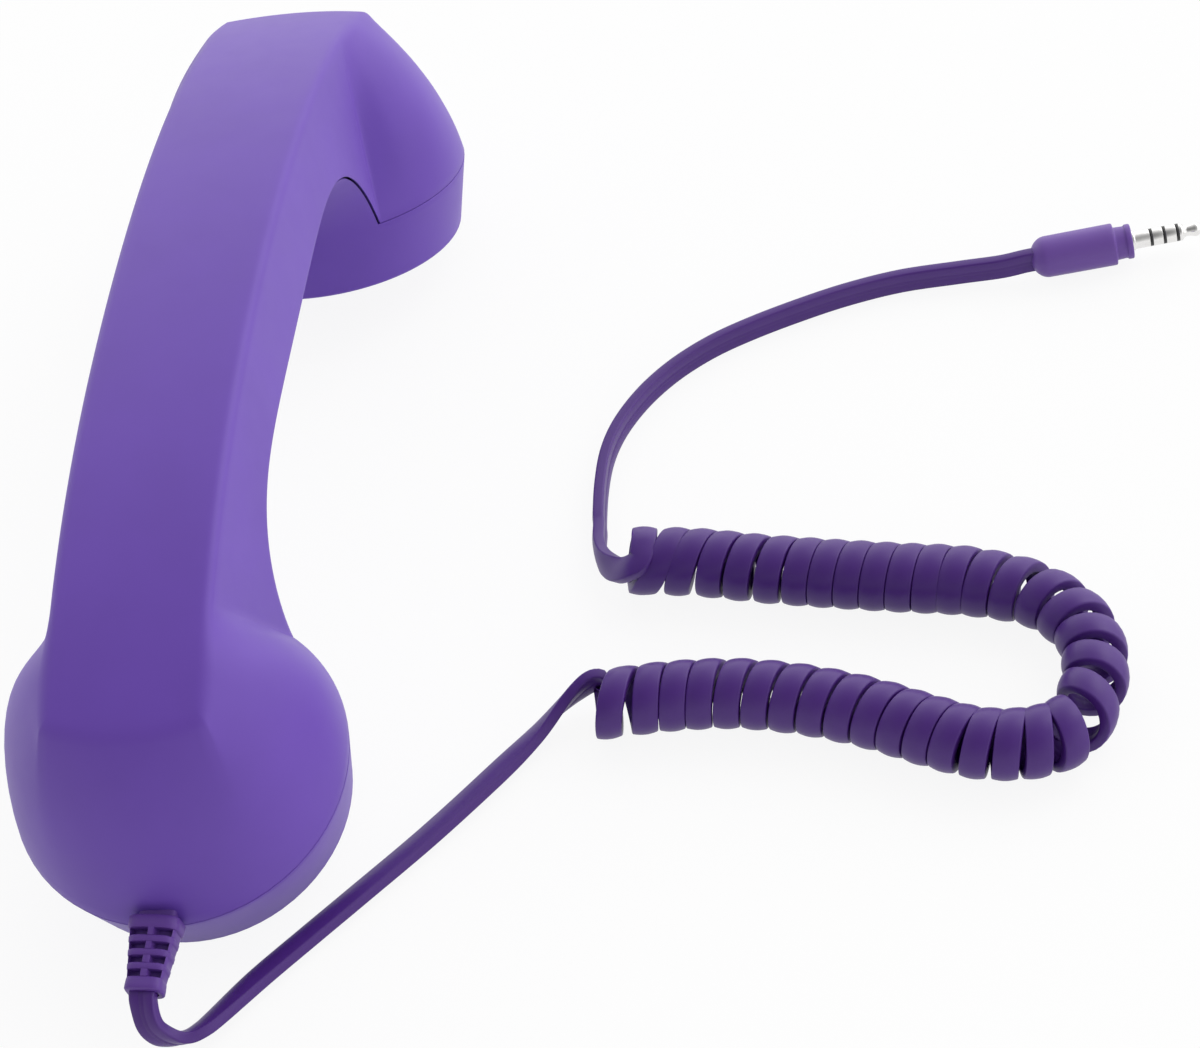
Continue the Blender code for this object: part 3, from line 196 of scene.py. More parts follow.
# (metres along the coil's axis, turns made by then)
COIL_TURNS = [
    (0.0020, 0.3),
    (0.0018, 0.625),
    (0.0026, 0.8),
    (0.0063, 1.125),
    (0.0084, 1.625),
    (0.0115, 2.125),
    (0.0137, 2.625),
    (0.0165, 3.125),
    (0.0188, 3.625),
    (0.0214, 4.125),
    (0.0560, 10.394),
    (0.0759, 14.38),
    (0.0904, 17.42),
    (0.0976, 18.1),
    (0.1044, 19.1),
    (0.1111, 20.1),
    (0.1179, 21.1),
    (0.1245, 22.1),
    (0.1312, 23.1),
    (0.1366, 24.1),
    (0.1394, 24.618),
    (0.1732, 31.619),
    (0.1831, 33.375),
    (0.1855, 33.875),
    (0.1886, 34.375),
    (0.1904, 34.875),
    (0.1910, 35.0),
    (0.1956, 35.375),
    (0.1953, 35.875),
    (0.1957, 36.0),
    (0.1970, 36.14),
    (0.2026, 36.375),
    (0.2041, 36.6),
    (0.2016, 36.875),
    (0.2007, 37.0),
]
# (metres along the coil's axis, the coil's mean radius there)
COIL_RADII = [(0.0, 0.00525), (0.084, 0.00525), (0.096, 0.0049), (0.126, 0.0049), (0.140, 0.00525)]
TURN_POINTS = 32
# (metres from the strain relief, degrees by which the smooth face is turned up from the left)
LOWER_TWIST = [(0, -90), (0.004, -70), (0.008, -20), (0.0115, 38), (0.016, 56), (0.03, 72)]
# (metres from the coil, back along the cable, the same degrees)
LOWER_TWIST_END = [(-0.026, 72), (-0.016, 52), (-0.007, 20), (0, 0)]
# (metres from the coil, the same degrees)
UPPER_TWIST = [(0, 90), (0.003, 86), (0.009, 58), (0.014, 26), (0.020, 5), (0.026, 0), (0.14, 0)]

GRIP_COLUMNS, DOME_COLUMNS, STRIP_CELLS = 44, 26, 8
RIB_ROWS, ROUNDING_ROWS = 18, 5
BELLY_CELLS, CUP_ROWS, FILLET_ROWS = 12, 8, 5


# Materials

COLOUR_SWING, GLOSS_SWING, METAL_SWING = 0.03, 0.04, 0.07
RAMP_START, RAMP_END = 0.3, 0.7


def nodes_of(name):
    made = bpy.data.materials.new(name)
    made.use_nodes = True
    tree = made.node_tree
    return made, tree, tree.nodes["Principled BSDF"]


def node(tree, kind, **values):
    made = tree.nodes.new(kind)
    for key, value in values.items():
        if key in made.inputs:
            made.inputs[key].default_value = value
        else:
            setattr(made, key, value)
    return made


def noise(tree, scale, detail=2.0, stretch=None):
    coordinates = node(tree, "ShaderNodeTexCoord")
    out = coordinates.outputs["Object"]
    if stretch:
        mapping = node(tree, "ShaderNodeMapping", Scale=stretch)
        tree.links.new(out, mapping.inputs["Vector"])
        out = mapping.outputs["Vector"]
    made = node(tree, "ShaderNodeTexNoise", Scale=scale, Detail=detail)
    tree.links.new(out, made.inputs["Vector"])
    return made.outputs["Fac"]


def ramp(tree, value, low, high):
    made = node(tree, "ShaderNodeValToRGB")
    for element, at, colour in zip(made.color_ramp.elements, (RAMP_START, RAMP_END), (low, high)):
        element.position = at
        element.color = (*colour, 1)
    tree.links.new(value, made.inputs["Fac"])
    return made.outputs["Color"]


def bump(tree, shader, height, strength, distance):
    made = node(tree, "ShaderNodeBump", Strength=strength, Distance=distance)
    tree.links.new(height, made.inputs["Height"])
    tree.links.new(made.outputs["Normal"], shader.inputs["Normal"])


def plastic(name, colour, rough, grain, grain_depth, patch=60.0, specular=0.5, sheen=0.0):
    """Moulded plastic: soft patches of colour and gloss over a fine grain."""
    made, tree, shader = nodes_of(name)
    low = tuple(c * (1 - COLOUR_SWING) for c in colour)
    high = tuple(c * (1 + COLOUR_SWING) for c in colour)
    tree.links.new(ramp(tree, noise(tree, patch, 3.0), low, high), shader.inputs["Base Color"])
    gloss = node(tree, "ShaderNodeMapRange")
    gloss.inputs["To Min"].default_value = rough - GLOSS_SWING
    gloss.inputs["To Max"].default_value = rough + GLOSS_SWING
    tree.links.new(noise(tree, patch * 3, 3.0), gloss.inputs["Value"])
    tree.links.new(gloss.outputs["Result"], shader.inputs["Roughness"])
    shader.inputs["Specular IOR Level"].default_value = specular
    shader.inputs["Sheen Weight"].default_value = sheen
    shader.inputs["Sheen Roughness"].default_value = 0.5
    bump(tree, shader, noise(tree, grain, 2.0), 0.25, grain_depth)
    return made


def metal(name, colour, rough, stretch):
    """Bare metal with fine tool marks, drawn out along the directions that stretch is small in."""
    made, tree, shader = nodes_of(name)
    low = tuple(c * (1 - METAL_SWING) for c in colour)
    tree.links.new(ramp(tree, noise(tree, 900, 2.0), low, colour), shader.inputs["Base Color"])
    shader.inputs["Metallic"].default_value = 1.0
    shader.inputs["Roughness"].default_value = rough
    bump(tree, shader, noise(tree, 2500, 2.0, stretch), 0.1, 0.00002)
    return made


SLOT_MATERIALS = {
    "soft_touch": plastic(
        "soft_touch", (0.135, 0.055, 0.420), 0.5, 5200, 0.00003, specular=0.42, sheen=0.08
    ),
    "cord": plastic("cord", (0.070, 0.018, 0.200), 0.42, 2600, 0.00004, patch=90, specular=0.4),
    "metal": metal("metal", (0.86, 0.85, 0.84), 0.16, (1, 12, 12)),
    "steel": metal("steel", (0.42, 0.42, 0.44), 0.38, (1, 1, 8)),
    "black_plastic": plastic("black_plastic", (0.015, 0.015, 0.016), 0.4, 3000, 0.00002),
    "board": plastic("board", (0.025, 0.14, 0.06), 0.45, 1500, 0.00003),
    "foam": plastic("foam", (0.045, 0.045, 0.045), 0.9, 1200, 0.0002),
    "cone_paper": plastic("cone_paper", (0.055, 0.055, 0.06), 0.8, 1500, 0.0001),
}
RELIEF_FINISH = plastic(
    "relief", (0.115, 0.043, 0.290), 0.45, 2600, 0.00004, patch=90, specular=0.4
)
PLUG_FINISH = plastic("plug", (0.155, 0.072, 0.350), 0.42, 2600, 0.00004, patch=90, specular=0.4)


# Making objects

WELD, DEGENERATE = 2e-6, 1e-7


def piece(name, mesh, finish, body="handset", replaced=()):
    made = bpy.data.objects.new(name, mesh)
    bpy.context.scene.collection.objects.link(made)
    mesh.materials.clear()
    mesh.materials.append(finish)
    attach(made, body)
    if replaced:
        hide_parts(*replaced)
    return made


def mesh_from(name, verts, faces, sharp=None):
    """A smooth mesh. Points that coincide are welded."""
    bm = bmesh.new()
    made = [bm.verts.new(Vector(v)) for v in verts]
    for face in faces:
        bm.faces.new([made[i] for i in face])
    bmesh.ops.remove_doubles(bm, verts=bm.verts, dist=WELD)
    bmesh.ops.dissolve_degenerate(bm, edges=bm.edges, dist=DEGENERATE)
    bmesh.ops.recalc_face_normals(bm, faces=bm.faces)
    mesh = bpy.data.meshes.new(name)
    bm.to_mesh(mesh)
    bm.free()
    mesh.shade_smooth()
    if sharp:
        mesh.set_sharp_from_angle(angle=math.radians(sharp))
    return mesh


class Grid:
    """Collects grids of points and the quads between them."""

    def __init__(self):
        self.verts, self.faces = [], []

    def add(self, rows, closed=False):
        start = len(self.verts)
        width = len(rows[0])
        for row in rows:
            self.verts.extend(tuple(p) for p in row)
        for i in range(len(rows) - 1):
            for j in range(width if closed else width - 1):
                k = (j + 1) % width
                a, b = start + i * width, start + (i + 1) * width
                self.faces.append((a + j, a + k, b + k, b + j))

    def cap(self, row):
        start = len(self.verts)
        self.verts.extend(tuple(p) for p in row)
        self.faces.append(tuple(range(start, start + len(row))))

    def mesh(self, name, sharp=None):
        return mesh_from(name, self.verts, self.faces, sharp)


def bevel(made):
    """A hair-fine rounding of the shells' sharp edges."""
    mod = made.modifiers.new("Bevel", "BEVEL")
    mod.width = 0.00015
    mod.segments = 2
    mod.limit_method = "ANGLE"
    mod.angle_limit = math.radians(60)
    mod.use_clamp_overlap = True


def quarter_mirror(made):
    mirror = made.modifiers.new("Mirror", "MIRROR")
    mirror.use_axis = (True, True, False)
    mirror.merge_threshold = 0.00001


def turned_mesh(name, profile, place, sides=TURNED_SIDES):
    """A solid of revolution about place's Z, from its profile of (radius, height)."""
    grid = Grid()
    rows = []
    for i in range(sides):
        turn = 2 * math.pi * i / sides
        c, s = math.cos(turn), math.sin(turn)
        rows.append([place @ Vector((r * c, r * s, z)) for r, z in profile])
    rows.append(rows[0])
    grid.add(rows)
    return grid.mesh(name)


def round_corners(profile, radius):
    """The profile with each corner between its ends replaced by a short curve."""
    steps = 3
    out = [profile[0]]
    for a, b, c in zip(profile, profile[1:], profile[2:]):
        before, at, after = (np.array(p, float) for p in (a, b, c))
        near = min(radius, np.linalg.norm(before - at) * 0.45)
        far = min(radius, np.linalg.norm(after - at) * 0.45)
        start = at + (before - at) / np.linalg.norm(before - at) * near
        end = at + (after - at) / np.linalg.norm(after - at) * far
        for i in range(steps + 1):
            s = i / steps
            out.append(tuple(start * (1 - s) ** 2 + at * 2 * s * (1 - s) + end * s * s))
    out.append(profile[-1])
    return out


def smooth_step(value, low, high):
    s = min(max((value - low) / (high - low), 0), 1)
    return s * s * (3 - 2 * s)


def unit(v):
    return v / np.linalg.norm(v, axis=-1, keepdims=True)


# The handset's shells


def lowest_cup_point():
    """How far a tilted cup reaches below its centre, which is how high the centre lies."""
    inside = CUP_BOTTOM - EDGE_FILLET
    return inside * math.sin(TILT) - EDGE_FILLET * math.cos(TILT) + EDGE_FILLET


def head_frame(side):
    centre = Matrix.Translation((0, side * HEAD_SPACING / 2, lowest_cup_point()))
    return centre @ Matrix.Rotation(-side * TILT, 4, "X")


EAR, MOUTH = head_frame(1), head_frame(-1)


def rim_point(radius, angle, height):
    return EAR @ Vector((radius * math.cos(angle), radius * math.sin(angle), height))


def ridge_height(y):
    share = y / BACK_HALF
    fall = (1 - BACK_STEEPENING) * share**2 + BACK_STEEPENING * share**4
    return BACK_HEIGHT - BACK_DROP * fall


def strip_half_width(y):
    share = min(abs(y) / BACK_HALF, 1)
    return (STRIP_MIDDLE + (STRIP_END - STRIP_MIDDLE) * share**2) / 2


def on_strip(x, y, wall):
    crown = STRIP_CROWN * (1 - (x / strip_half_width(y)) ** 2)
    return Vector((x, y, ridge_height(y) + crown - wall))


def strip_end(x, inset):
    return BACK_HALF + STRIP_BOW * (1 - (x / strip_half_width(BACK_HALF)) ** 2) - inset


def strip_outline(column, inset, wall):
    """A column's point on the strip's edge, which runs along the grip, the dome and the end."""
    tip = HEAD_SPACING / 2
    corner_x = strip_half_width(BACK_HALF) - inset
    corner_y = strip_end(corner_x, inset)
    if column <= GRIP_COLUMNS:
        y = tip * SHARES[column]
        return on_strip(strip_half_width(y) - inset, y, wall)
    beyond = column - GRIP_COLUMNS
    if beyond <= DOME_COLUMNS:
        y = tip + (corner_y - tip) * beyond / DOME_COLUMNS
        return on_strip(strip_half_width(y) - inset, y, wall)
    x = corner_x * (1 - (beyond - DOME_COLUMNS) / STRIP_CELLS)
    return on_strip(x, strip_end(x, inset), wall)


def arch(turn, end_y, end_z, top_z):
    """A point (y, z) on one side of a flat-topped arch, whose middle is at turn 0."""
    y = end_y * math.sin(turn) ** (2 / ARCH_POWER)
    return y, end_z + (top_z - end_z) * math.cos(turn)


def parting_edge(turn, wall, front):
    """Where the shells meet along the grip. The front shell's edge lies just inside the back's."""
    angle, height, top, half = ARCH_END, CUP_HEIGHT, EDGE_HEIGHT, EDGE_HALF
    if front:
        angle -= GAP / (RIM * math.cos(ARCH_END))
        height -= SEAM
        top -= GAP
        half -= EDGE_TUCK
    foot = rim_point(RIM - wall, angle, height)
    y, z = arch(turn, foot.y, foot.z, top)
    fall = (1 - math.cos(turn)) ** FLARE
    return Vector((half - wall + (foot.x - half + wall) * fall, y, z))


def grip_turns():
    """Turns of the arch at even lengths along the parting edge, and their shares of it."""
    fine = np.linspace(0, math.pi / 2, 2001)
    points = np.array([parting_edge(turn, 0, False) for turn in fine])
    length = np.concatenate([[0], np.cumsum(np.linalg.norm(np.diff(points, axis=0), axis=1))])
    shares = np.linspace(0, 1, GRIP_COLUMNS + 1)
    return [float(t) for t in np.interp(shares * length[-1], length, fine)], list(shares)


TURNS, SHARES = grip_turns()


def dome_angle(share, front):
    """The rim's angle at a share of the way round the dome, which ends on the handset's middle."""
    start = ARCH_END
    if front:
        start -= GAP / (RIM * math.cos(ARCH_END))
    return start + (math.pi / 2 - start) * share


def dome_shares():
    """Closer together at first, where the dome leaves the grip in a soft crease."""
    to_corner = [DOME_CORNER * (i / DOME_COLUMNS) ** DOME_CROWDING for i in range(DOME_COLUMNS + 1)]
    rest = [DOME_CORNER + (1 - DOME_CORNER) * i / STRIP_CELLS for i in range(1, STRIP_CELLS + 1)]
    return to_corner + rest


ROUND_SHARES = dome_shares()


def dome_swell(share):
    """A smooth curve through the DOME_SWELL marks."""
    marks = DOME_SWELL
    slopes = []
    for i in range(len(marks)):
        a, b = marks[max(i - 1, 0)], marks[min(i + 1, len(marks) - 1)]
        slopes.append((b[1] - a[1]) / (b[0] - a[0]))
    i = max(k for k in range(len(marks) - 1) if marks[k][0] <= share)
    (x0, y0), (x1, y1) = marks[i], marks[i + 1]
    run = x1 - x0
    s = min((share - x0) / run, 1)
    return (
        y0 * (1 + 2 * s) * (1 - s) ** 2
        + y1 * s * s * (3 - 2 * s)
        + slopes[i] * run * s * (1 - s) ** 2
        - slopes[i + 1] * run * s * s * (1 - s)
    )


def back_rib(column, wall, rounding):
    """From the strip round the ridge and down to the parting edge."""
    top = strip_outline(column, wall, wall)
    start = strip_outline(column, wall + rounding, wall)
    run_share, drop_share = 0.5, 0.5
    if column <= GRIP_COLUMNS:
        foot = parting_edge(TURNS[column], wall, False)
    else:
        share = ROUND_SHARES[column - GRIP_COLUMNS]
        foot = rim_point(RIM - wall, dome_angle(share, False), CUP_HEIGHT)
        swell = dome_swell(share)
        run_share += (DOME_RUN - 0.5) * swell
        drop_share += (DOME_DROP - 0.5) * swell
    way = foot - top
    middle = top + Vector((way.x * run_share, way.y * run_share, way.z * drop_share))

    def rib(s):
        return top * (1 - s) ** 2 + middle * (2 * s * (1 - s)) + foot * s * s

    leave = rounding / (2 * (middle - top).length)
    onto = rib(leave)
    rounded = [
        start * (1 - s) ** 2 + top * (2 * s * (1 - s)) + onto * s * s
        for s in (i / ROUNDING_ROWS for i in range(ROUNDING_ROWS))
    ]
    return rounded + [rib(leave + (1 - leave) * i / RIB_ROWS) for i in range(RIB_ROWS + 1)]


def back_grids(wall, grid):
    """Adds the back shell's skin at this depth in the wall, and returns its lower edge."""
    rounding = RIDGE_ROUNDING if not wall else RIDGE_ROUNDING / 4
    count = GRIP_COLUMNS + DOME_COLUMNS + STRIP_CELLS + 1
    columns = [back_rib(column, wall, rounding) for column in range(count)]
    grid.add(columns)
    inset = wall + rounding
    rows = []
    for column in range(GRIP_COLUMNS + DOME_COLUMNS + 1):
        edge = strip_outline(column, inset, wall)
        across = (1 - i / STRIP_CELLS for i in range(STRIP_CELLS + 1))
        rows.append([on_strip(edge.x * s, edge.y, wall) for s in across])
    grid.add(rows)
    first = GRIP_COLUMNS + DOME_COLUMNS
    end = [strip_outline(first + i, inset, wall) for i in range(STRIP_CELLS + 1)]
    grid.add([rows[-1], end])
    return [column[-1] for column in columns]


def make_back():
    grid = Grid()
    feet = [back_grids(wall, grid) for wall in (0, BACK_WALL)]
    grid.add(feet)
    mesh = grid.mesh("back_cover")
    finish = SLOT_MATERIALS["soft_touch"]
    made = piece("back_cover", mesh, finish, replaced=["back_shell"])
    quarter_mirror(made)
    bevel(made)


def cup_radius(height):
    return CUP_BOTTOM + (RIM - CUP_BOTTOM) * height / (CUP_HEIGHT - SEAM)


def cup_profile(wall):
    """(radius, height) down a cup's wall and in under its lip, outside or inside the wall."""
    top = CUP_HEIGHT - SEAM
    lowest = LIP if wall else EDGE_FILLET
    heights = [top + (lowest - top) * i / CUP_ROWS for i in range(CUP_ROWS + 1)]
    profile = [(cup_radius(h) - wall, h) for h in heights]
    if wall:
        return profile + [(CAP + GAP, lowest)]
    centre = cup_radius(lowest) - EDGE_FILLET
    for i in range(1, FILLET_ROWS + 1):
        turn = math.pi / 2 * i / FILLET_ROWS
        profile.append((centre + EDGE_FILLET * math.cos(turn), EDGE_FILLET * (1 - math.sin(turn))))
    return profile + [(CAP + GAP, 0)]


def belly_sections(wall):
    """Half sections across the grip's inner face. The last one is an arc of the cup's rim."""
    rim = rim_point(RIM - wall, -math.pi / 2, CUP_HEIGHT - SEAM)
    sections = []
    for turn in TURNS:
        edge = parting_edge(turn, wall, True)
        y, z = arch(turn, rim.y, rim.z, EDGE_HEIGHT - BELLY_DEPTH + wall)
        bend = min(1 - math.sin(turn) + edge.x * math.sin(turn) / (RIM - wall), 1)
        base = math.sqrt(1 - bend**2)
        section = []
        for i in range(BELLY_CELLS + 1):
            q = math.cos(math.pi / 2 * i / BELLY_CELLS)
            sag = (math.sqrt(1 - (bend * q) ** 2) - base) / (1 - base)
            section.append(
                Vector((edge.x * q, edge.y + (y - edge.y) * sag, edge.z + (z - edge.z) * sag))
            )
        sections.append(section)
    return sections


def make_front():
    grid = Grid()
    edges, mouths = [], []
    for wall in (0, FRONT_WALL):
        sections = belly_sections(wall)
        last = [EAR.inverted() @ p for p in sections[-1]]
        angles = [math.atan2(p.y, p.x) for p in reversed(last)]
        angles += [dome_angle(share, True) for share in ROUND_SHARES[1:]]
        cup = [[rim_point(r, a, h) for a in angles] for r, h in cup_profile(wall)]
        grid.add(sections)
        grid.add(cup)
        edges.append([section[0] for section in sections] + cup[0][BELLY_CELLS + 1 :])
        mouths.append(cup[-1])
    grid.add(edges)
    grid.add(mouths)
    mesh = grid.mesh("front_cover")
    finish = SLOT_MATERIALS["soft_touch"]
    made = piece("front_cover", mesh, finish, replaced=["front_shell"])
    quarter_mirror(made)
    (low, high), radius = BUTTON_HOLE_HEIGHTS, BUTTON_RADIUS + GAP
    place = Matrix.Translation((0, BUTTON_Y, 0))
    hole = [(0, high), (radius, high), (radius, low), (0, low)]
    cut_away(made, "button_hole", turned_mesh("button_hole", hole, place, sides=48))
    bevel(made)


def cut_away(made, name, mesh):
    """Cuts the mesh out of the piece. The cutter itself is never seen."""
    cutter = bpy.data.objects.new(name, mesh)
    bpy.context.scene.collection.objects.link(cutter)
    cutter.hide_render = True
    cutter.hide_viewport = True
    cutter.display_type = "WIRE"
    cut = made.modifiers.new(name, "BOOLEAN")
    cut.operation = "DIFFERENCE"
    cut.object = cutter


def make_cap(name, node_name, head, step, rings):
    """The plate in the mouth of a cup: a shallow dish with a raised edge and rings of holes."""
    profile = [
        (0, CAP_PLATE),
        (CAP - CAP_WALL, CAP_PLATE),
        (CAP - CAP_WALL, CAP_FLANGE_TOP),
        (CAP + CAP_FLANGE, CAP_FLANGE_TOP),
        (CAP + CAP_FLANGE, LIP + GAP),
        (CAP, LIP + GAP),
        (CAP, 0),
        (CAP - CAP_EDGE, 0),
        (CAP - CAP_DISH_START, CAP_DISH),
        (0, CAP_DISH),
    ]
    mesh = turned_mesh(name, round_corners(profile, CORNER_ROUNDING), head, sides=96)
    finish = SLOT_MATERIALS["soft_touch"]
    made = piece(name, mesh, finish, replaced=[node_name])
    sides = 24
    grid = Grid()
    for ring in range(rings):
        for i in range(max(1, 6 * ring)):
            turn = math.pi * i / (3 * max(ring, 1))
            x, y = ring * step * math.cos(turn), ring * step * math.sin(turn)
            rows = []
            for r, z in CAP_HOLE:
                turns = (2 * math.pi * j / sides for j in range(sides))
                circle = [(x + r * math.cos(t), y + r * math.sin(t), z) for t in turns]
                rows.append([head @ Vector(p) for p in circle])
            grid.add(rows, closed=True)
            grid.cap(rows[0])
            grid.cap(rows[-1])
    cut_away(made, name + "_holes", grid.mesh(name + "_holes"))


def make_button():
    """A cap with a rolled edge round a shallow hollow, held by its flange."""
    face = EDGE_HEIGHT - BELLY_DEPTH - BUTTON_PROUD
    flange = EDGE_HEIGHT - BELLY_DEPTH + FRONT_WALL + 2 * GAP
    profile = [
        (0, flange + BUTTON_FLANGE),
        (BUTTON_FLANGE_RADIUS, flange + BUTTON_FLANGE),
        (BUTTON_FLANGE_RADIUS, flange),
        (BUTTON_RADIUS, flange),
        (BUTTON_RADIUS, face),
        (BUTTON_RADIUS - BUTTON_ROLL, face),
        (BUTTON_RADIUS - BUTTON_HOLLOW_START, face + BUTTON_HOLLOW_EDGE),
        (0, face + BUTTON_HOLLOW),
    ]
    place = Matrix.Translation((0, BUTTON_Y, 0))
    mesh = turned_mesh("button_cap", round_corners(profile, CORNER_ROUNDING), place, sides=48)
    finish = SLOT_MATERIALS["soft_touch"]
    piece("button_cap", mesh, finish, "button", ["answer_button"])


# The strain relief


def relief_frame():
    """On the dome's wall above the mouth head's outer end, Z pointing out along the relief."""
    at = MOUTH @ Vector((0, -RIM, CUP_HEIGHT)) + Vector((0, -RELIEF_STANDOFF, RELIEF_RISE))
    out = MOUTH.to_3x3() @ Vector((-math.sin(RELIEF_YAW), -math.cos(RELIEF_YAW), 0))
    up = MOUTH.to_3x3() @ Vector((0, 0, 1))
    turn = Matrix((up.cross(out), up, out)).transposed().to_4x4()
    return Matrix.Translation(at) @ turn


RELIEF = relief_frame()


def rounded_section(half_width, half_height, z, corner=4):
    """A rounded rectangle at height z. A larger corner value makes it squarer."""
    sides = 112
    points = []
    for i in range(sides):
        turn = 2 * math.pi * (i + 0.5) / sides
        c = math.cos(turn)
        y = half_height * (1 - abs(c) ** corner) ** (1 / corner)
        points.append((half_width * c, math.copysign(y, math.sin(turn)), z))
    return points


def relief_section(z, slotted=False, grow=0.0):
    """The outline at z. A slot cuts its upper and lower faces on both sides of a spine."""
    share = min(max(z / RELIEF_LENGTH, 0), 1)
    half_width, half_height = (
        a / 2 + (b - a) / 2 * share + grow for a, b in zip(RELIEF_BASE, RELIEF_END)
    )
    points = []
    for x, y, _ in rounded_section(half_width, half_height, z):
        if slotted:
            from_spine = abs(x - RELIEF_SPINE_SHIFT) - RELIEF_SPINE / 2
            beside = smooth_step(from_spine, 0, SLOT_SLOPE)
            inside = 1 - smooth_step(abs(x) / half_width, *SLOT_RUN_OUT)
            cut = min(RELIEF_SLOT_DEPTH * beside * inside, SLOT_MOST * abs(y))
            y = math.copysign(abs(y) - cut, y)
            x *= 1 - SLOT_NARROWING * smooth_step(abs(x) / half_width, SLOT_RUN_OUT[0], 1)
        points.append((x, y, z))
    return points


def make_relief():
    """A neck, a base block, a slotted taper and an end collar, as one moulding."""
    mouth = [side / 2 + RELIEF_MOUTH_GAP for side in (CORD_WIDTH, CORD_THICKNESS)]
    end = RELIEF_LENGTH
    sections = [
        rounded_section(*RELIEF_NECK, -RELIEF_NECK_LENGTH),
        rounded_section(*RELIEF_NECK, 0.0),
    ]
    sections += [relief_section(z, grow=grow) for z, grow in RELIEF_BASE_RISE]
    sections += [relief_section(RELIEF_FLANGE + z, grow=grow) for z, grow in RELIEF_BLOCK_END]
    for i in range(RELIEF_SLOTS):
        start = RELIEF_FLANGE + i * RELIEF_PITCH
        stop = start + RELIEF_SLOT
        sections += [
            relief_section(start + SLOT_WALL, slotted=True),
            relief_section(stop - SLOT_WALL, slotted=True),
            relief_section(stop, grow=-RIB_EDGE_DEPTH),
            relief_section(stop + RIB_EDGE),
        ]
        if i < RELIEF_SLOTS - 1:
            sections += [
                relief_section(start + RELIEF_PITCH - RIB_EDGE),
                relief_section(start + RELIEF_PITCH, grow=-RIB_EDGE_DEPTH),
            ]
    sections += [relief_section(end + z, grow=grow) for z, grow in RELIEF_COLLAR]
    sections += [rounded_section(*mouth, z, 3) for z in (end, end - RELIEF_MOUTH_DEPTH)]
    grid = Grid()
    rows = [[RELIEF @ Vector(p) for p in section] for section in sections]
    grid.add(rows, closed=True)
    grid.cap(rows[0])
    grid.cap(rows[-1])
    mesh = grid.mesh("relief_boot", 38)
    return piece("relief_boot", mesh, RELIEF_FINISH, replaced=["strain_relief"])


# The cord


def smooth_curve(route, step):
    """Points a step apart on the smooth curve through the route's points."""
    knots = np.array([tuple(p) for p in route], float)
    padded = np.vstack([2 * knots[0] - knots[1], knots, 2 * knots[-1] - knots[-2]])
    fine = []
    for a, b, c, d in zip(padded, padded[1:], padded[2:], padded[3:]):
        for s in np.linspace(0, 1, 40, endpoint=False):
            fine.append(
                b + 0.5 * s * (c - a + s * (2 * a - 5 * b + 4 * c - d + s * (3 * (b - c) + d - a)))
            )
    fine = np.array(fine + [knots[-1]])
    length = np.concatenate([[0], np.cumsum(np.linalg.norm(np.diff(fine, axis=0), axis=1))])
    at = np.arange(0, length[-1] + step / 2, step).clip(0, length[-1])
    return np.stack([np.interp(at, length, fine[:, k]) for k in range(fine.shape[1])], 1), at


def eased(values, width):
    """A moving average that keeps both ends where they are."""
    padded = np.pad(values, width // 2, mode="reflect", reflect_type="odd")
    return np.convolve(padded, np.ones(width) / width, mode="valid")


def along_table(table, at):
    return np.interp(at, [row[0] for row in table], [row[1] for row in table])


def coil_points():
    """The coiled stretch: its centreline, and which way its smooth face looks."""
    axis, along = smooth_curve(COIL_ROUTE, AXIS_STEP)
    marks = np.array(COIL_TURNS)
    count = int((marks[-1, 1] - marks[0, 1]) * TURN_POINTS)
    turns = np.linspace(marks[0, 1], marks[-1, 1], count + 1)
    at = eased(np.interp(turns, marks[:, 1], marks[:, 0]), COIL_EASING)

    def on_axis(s):
        return np.stack([np.interp(s, along, axis[:, k]) for k in range(2)], 1)

    way = unit(on_axis(at + AXIS_REACH) - on_axis(at - AXIS_REACH))
    angle = 2 * math.pi * turns
    out = np.stack([-way[:, 1] * np.sin(angle), way[:, 0] * np.sin(angle), np.cos(angle)], 1)
    radius = along_table(COIL_RADII, at)[:, None]
    height = radius + CORD_THICKNESS / 2 + COIL_CLEARANCE
    return np.concatenate([on_axis(at), height], 1) + out * radius, out


def turned_faces(points, degrees):
    """Directions square to the path: 0 looks to the left of the way it goes, and 90 looks up."""
    way = unit(np.gradient(points, axis=0))
    left = unit(np.stack([-way[:, 1], way[:, 0], np.zeros(len(way))], 1))
    up = np.cross(way, left)
    angle = np.radians(degrees)[:, None]
    face = left * np.cos(angle) + up * np.sin(angle)
    return unit(np.stack([eased(face[:, k], FACE_EASING) for k in range(3)], 1))


